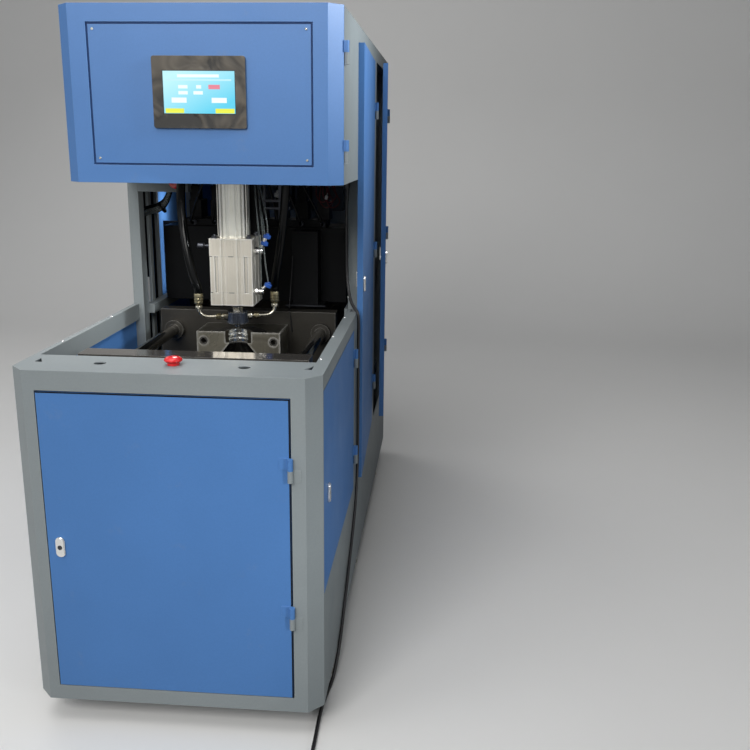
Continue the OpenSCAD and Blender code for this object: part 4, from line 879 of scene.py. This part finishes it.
def make_painted_edge_shade():
    """Painted shadow: black strips on the upper and right edge of the front door, where its gap
    lies in shadow, and a dark blue strip round the head's panel, where its folded edge lies in
    shade.
    """
    door_gap_shade, ring = Form(), Form()
    # Painted shadow: black strips over the door's upper and right edge, where its gap is in shadow.
    door_gap_shade.box(-250, 245, -0.2, 0.4, 727.4, 730)
    door_gap_shade.box(242.6, 245, -0.2, 0.4, 89, 727.4)
    door_gap_shade.done("front_door_gap_shadow", "black", "front_door_leaf", slot="black_plastic")
    # Painted shade: a dark blue strip round the head's panel, where its folded edge is in shade.
    x0, x1, y0, y1, z0, z1, wide = -235, 242, 342.35, 342.8, 1149, 1436, 2.4
    ring.box(x0, x1, y0, y1, z0, z0 + wide)
    ring.box(x0, x1, y0, y1, z1 - wide, z1)
    ring.box(x0, x0 + wide, y0, y1, z0 + wide, z1 - wide)
    ring.box(x1 - wide, x1, y0, y1, z0 + wide, z1 - wide)
    ring.done("panel_edge_shade", "painted_blue_shade", "head_door", slot="blue_coat")


CABLE = [(275, 705, 1097), (275, 705, 1000), (275.5, 704, 920), (277, 699, 870), (282, 686, 830),
         (291, 670, 801), (302, 658, 785), (310, 651, 774), (312.5, 649, 750), (312, 650, 700),
         (312, 651, 620), (312, 651, 520), (312, 650, 430), (312, 645, 365), (312, 628, 312),
         (312, 596, 268), (311.5, 540, 222), (311, 470, 176), (311, 390, 132), (310.5, 310, 86),
         (310, 262, 62), (308, 235, 43), (303, 195, 14), (296, 150, 4.5), (291, 100, 4.2),
         (290, 50, 4.2), (291, 0, 4.2), (291.5, -43, 4.2), (291, -105, 4.2), (289.3, -150, 4.2)]
COIL_X, COIL_Y = 235, -150
LOW, HIGH = 4.2, 12.5  # the cable's middle on the floor and on the coil's lower turns
PITCH = 8.3  # from turn to turn


def eased(t, start, stop, low, high):
    """low up to start, high from stop on, and a soft step between them."""
    s = min(1.0, max(0.0, (t - start) / (stop - start)))
    return low + (high - low) * s * s * (3 - 2 * s)


def coil_points():
    """Three turns on the floor, from the outside in, and two on top, from the inside out."""
    out, steps = [], 48
    for i in range(1, 5 * steps + 1):
        t = i / steps
        r = 54.3 + eased(t, 0.4, 1.0, 0, -PITCH) + eased(t, 1.4, 2.0, 0, -PITCH)
        r += eased(t, 2.4, 3.0, 0, PITCH) + eased(t, 3.4, 4.0, 0, PITCH)
        a = -2 * math.pi * t
        out.append(Vector((COIL_X + r * math.cos(a), COIL_Y + r * math.sin(a),
                           eased(t, 2.0, 2.4, LOW, HIGH))))
    return out


def make_cable():
    """The supply cable from its gland to the plug, as one tube."""
    line = smooth_curve(CABLE, 6) + coil_points()
    coil_end, steps, run = line[-1], 16, 62
    for i in range(1, steps + 1):
        y = run * i / steps
        line.append(Vector((coil_end.x, coil_end.y - y, eased(y, 10, 56, HIGH, LOW))))
    cable = Form().sweep(line, 4.0, 12, start=(1, 0, 0)).done("power_cable", "cable", smooth=60)
    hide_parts("cable", "cable_coil")


def make_strain_relief():
    """Ribbed and tapered sleeve, 37 mm long, where the cable leaves its gland."""
    x, y = CABLE[0][:2]
    rings = [(7.8, 0), (7.8, 4)]
    for k in range(5):
        at, r = 5 + 6 * k, 7.3 - 0.5 * k
        rings += [(r - 0.8, at), (r, at + 2), (r, at + 5)]
    rings += [(4.9, 35), (4.3, 37)]
    relief = Form().lathe((x, y, 1090.5), (0, 0, -1), rings)
    relief.done("strain_relief", "plastic", "frame", slot="black_plastic")


def make_stage():
    """The pale floor, 60 m wide, that bends up into a wall behind the machine."""
    floor_y = [-30] + [k / 2 for k in range(-16, 6)]
    profile = [(y, 0) for y in floor_y]
    bend_y, radius = 3.0, 1.6
    for k in range(13):
        a = k * math.pi / 24
        profile.append((bend_y + radius * math.sin(a), radius - radius * math.cos(a)))
    profile.append((bend_y + radius, 12))
    verts = [(x, y, z) for y, z in profile for x in (-30, 30)]
    faces = [(k, k + 1, k + 3, k + 2) for k in range(0, 2 * len(profile) - 2, 2)]
    mesh = bpy.data.meshes.new("floor")
    mesh.from_pydata(verts, [], faces)
    mesh.shade_smooth()
    p = Paint("pale_floor")
    tone = p.mix(p.noise(1.2, 5.0, 0.6), lin(232, 231, 229), lin(238, 237, 235))
    tone = p.mix(p.background_rays(), lin(128, 128, 128), tone)
    p.bump(p.noise(60, 4.0), 0.03, 0.001)
    mesh.materials.append(p.set(color=tone, rough=0.6))
    link(bpy.data.objects.new("floor", mesh))


def make_world():
    """A pale background for the rays that show it, and a dim blue one for the light it gives."""
    world = bpy.data.worlds.new("studio")
    bpy.context.scene.world = world
    world.use_nodes = True
    nodes = Nodes(world.node_tree)
    nodes.tree.nodes.clear()
    mix = nodes.node("ShaderNodeMixShader")
    nodes.put(mix.inputs[0], nodes.background_rays())
    light, shown = ((0.86, 0.93, 1.0, 1), 0.10), ((0.80, 0.81, 0.82, 1), 1.0)
    for k, (colour, strength) in enumerate((light, shown), 1):
        background = nodes.node("ShaderNodeBackground")
        background.inputs["Color"].default_value = colour
        background.inputs["Strength"].default_value = strength
        nodes.put(mix.inputs[k], background.outputs[0])
    nodes.put(nodes.node("ShaderNodeOutputWorld").inputs[0], mix.outputs[0])


def lamp(kind, name, at, aim, power, colour):
    """A lamp at a point, in metres of the row frame, that looks at another. The data comes back."""
    data = bpy.data.lights.new(name, kind)
    data.energy, data.color = power, colour
    placed = link(bpy.data.objects.new(name, data))
    placed.location = at
    placed.rotation_euler = (Vector(aim) - Vector(at)).to_track_quat("-Z", "Y").to_euler()
    return data


def area_light(name, at, aim, size, power, colour=(1, 1, 1)):
    """A rectangle of light, its size in metres."""
    data = lamp("AREA", name, at, aim, power, colour)
    data.shape = "RECTANGLE"
    data.size, data.size_y = size


def spot_light(name, at, aim, width, power):
    """A soft-edged beam, width degrees wide."""
    data = lamp("SPOT", name, at, aim, power, (0.92, 0.97, 1.0))
    data.shadow_soft_size, data.spot_blend = 0.4, 1.0
    data.spot_size = math.radians(width)


def make_light():
    """Large soft lamps, two small ones inside the bay, and two beams from the right."""
    area_light("key", (-0.7, -4.6, 3.4), (0, -0.4, 0.9), (2.8, 2.0), 136, (1.0, 0.99, 0.97))
    area_light("fill", (-3.4, -2.6, 2.4), (0, -0.3, 0.8), (2.4, 2.4), 26, (0.93, 0.96, 1.0))
    area_light("top", (-0.3, -1.2, 4.2), (0, -0.3, 0.7), (3.0, 3.0), 64)
    area_light("back", (-2.4, 2.6, 3.6), (0, 0.2, 0.9), (2.4, 2.4), 24)
    area_light("bay", (-0.09, -0.46, 1.075), (-0.32, -0.56, 0.78), (0.3, 0.08), 0.9,
               (1.0, 0.98, 0.95))
    area_light("wall", (-0.2816, 0.117, 0.93), (-0.4, 0.117, 0.93), (0.06, 0.34), 0.2)
    spot_light("window", (4.2, -0.85, 2.8), (0.33, -0.25, 1.58), 17, 1300)
    spot_light("corner", (3.3, -3.4, 1.7), (0.32, -0.86, 0.5), 14, 380)


dress_nodes()
make_camera()
make_strain_relief()
make_cable()
make_hoses()
make_nozzle_fittings()
make_controllers()
make_cylinder_details()
make_left_trunking()
make_bay_details()
make_upper_bay()
make_locks()
make_panel_screws()
make_bezel_frame()
make_head_rim()
make_painted_edge_shade()
make_stage()
make_world()
make_light()
bpy.context.scene.view_settings.view_transform = "Standard"
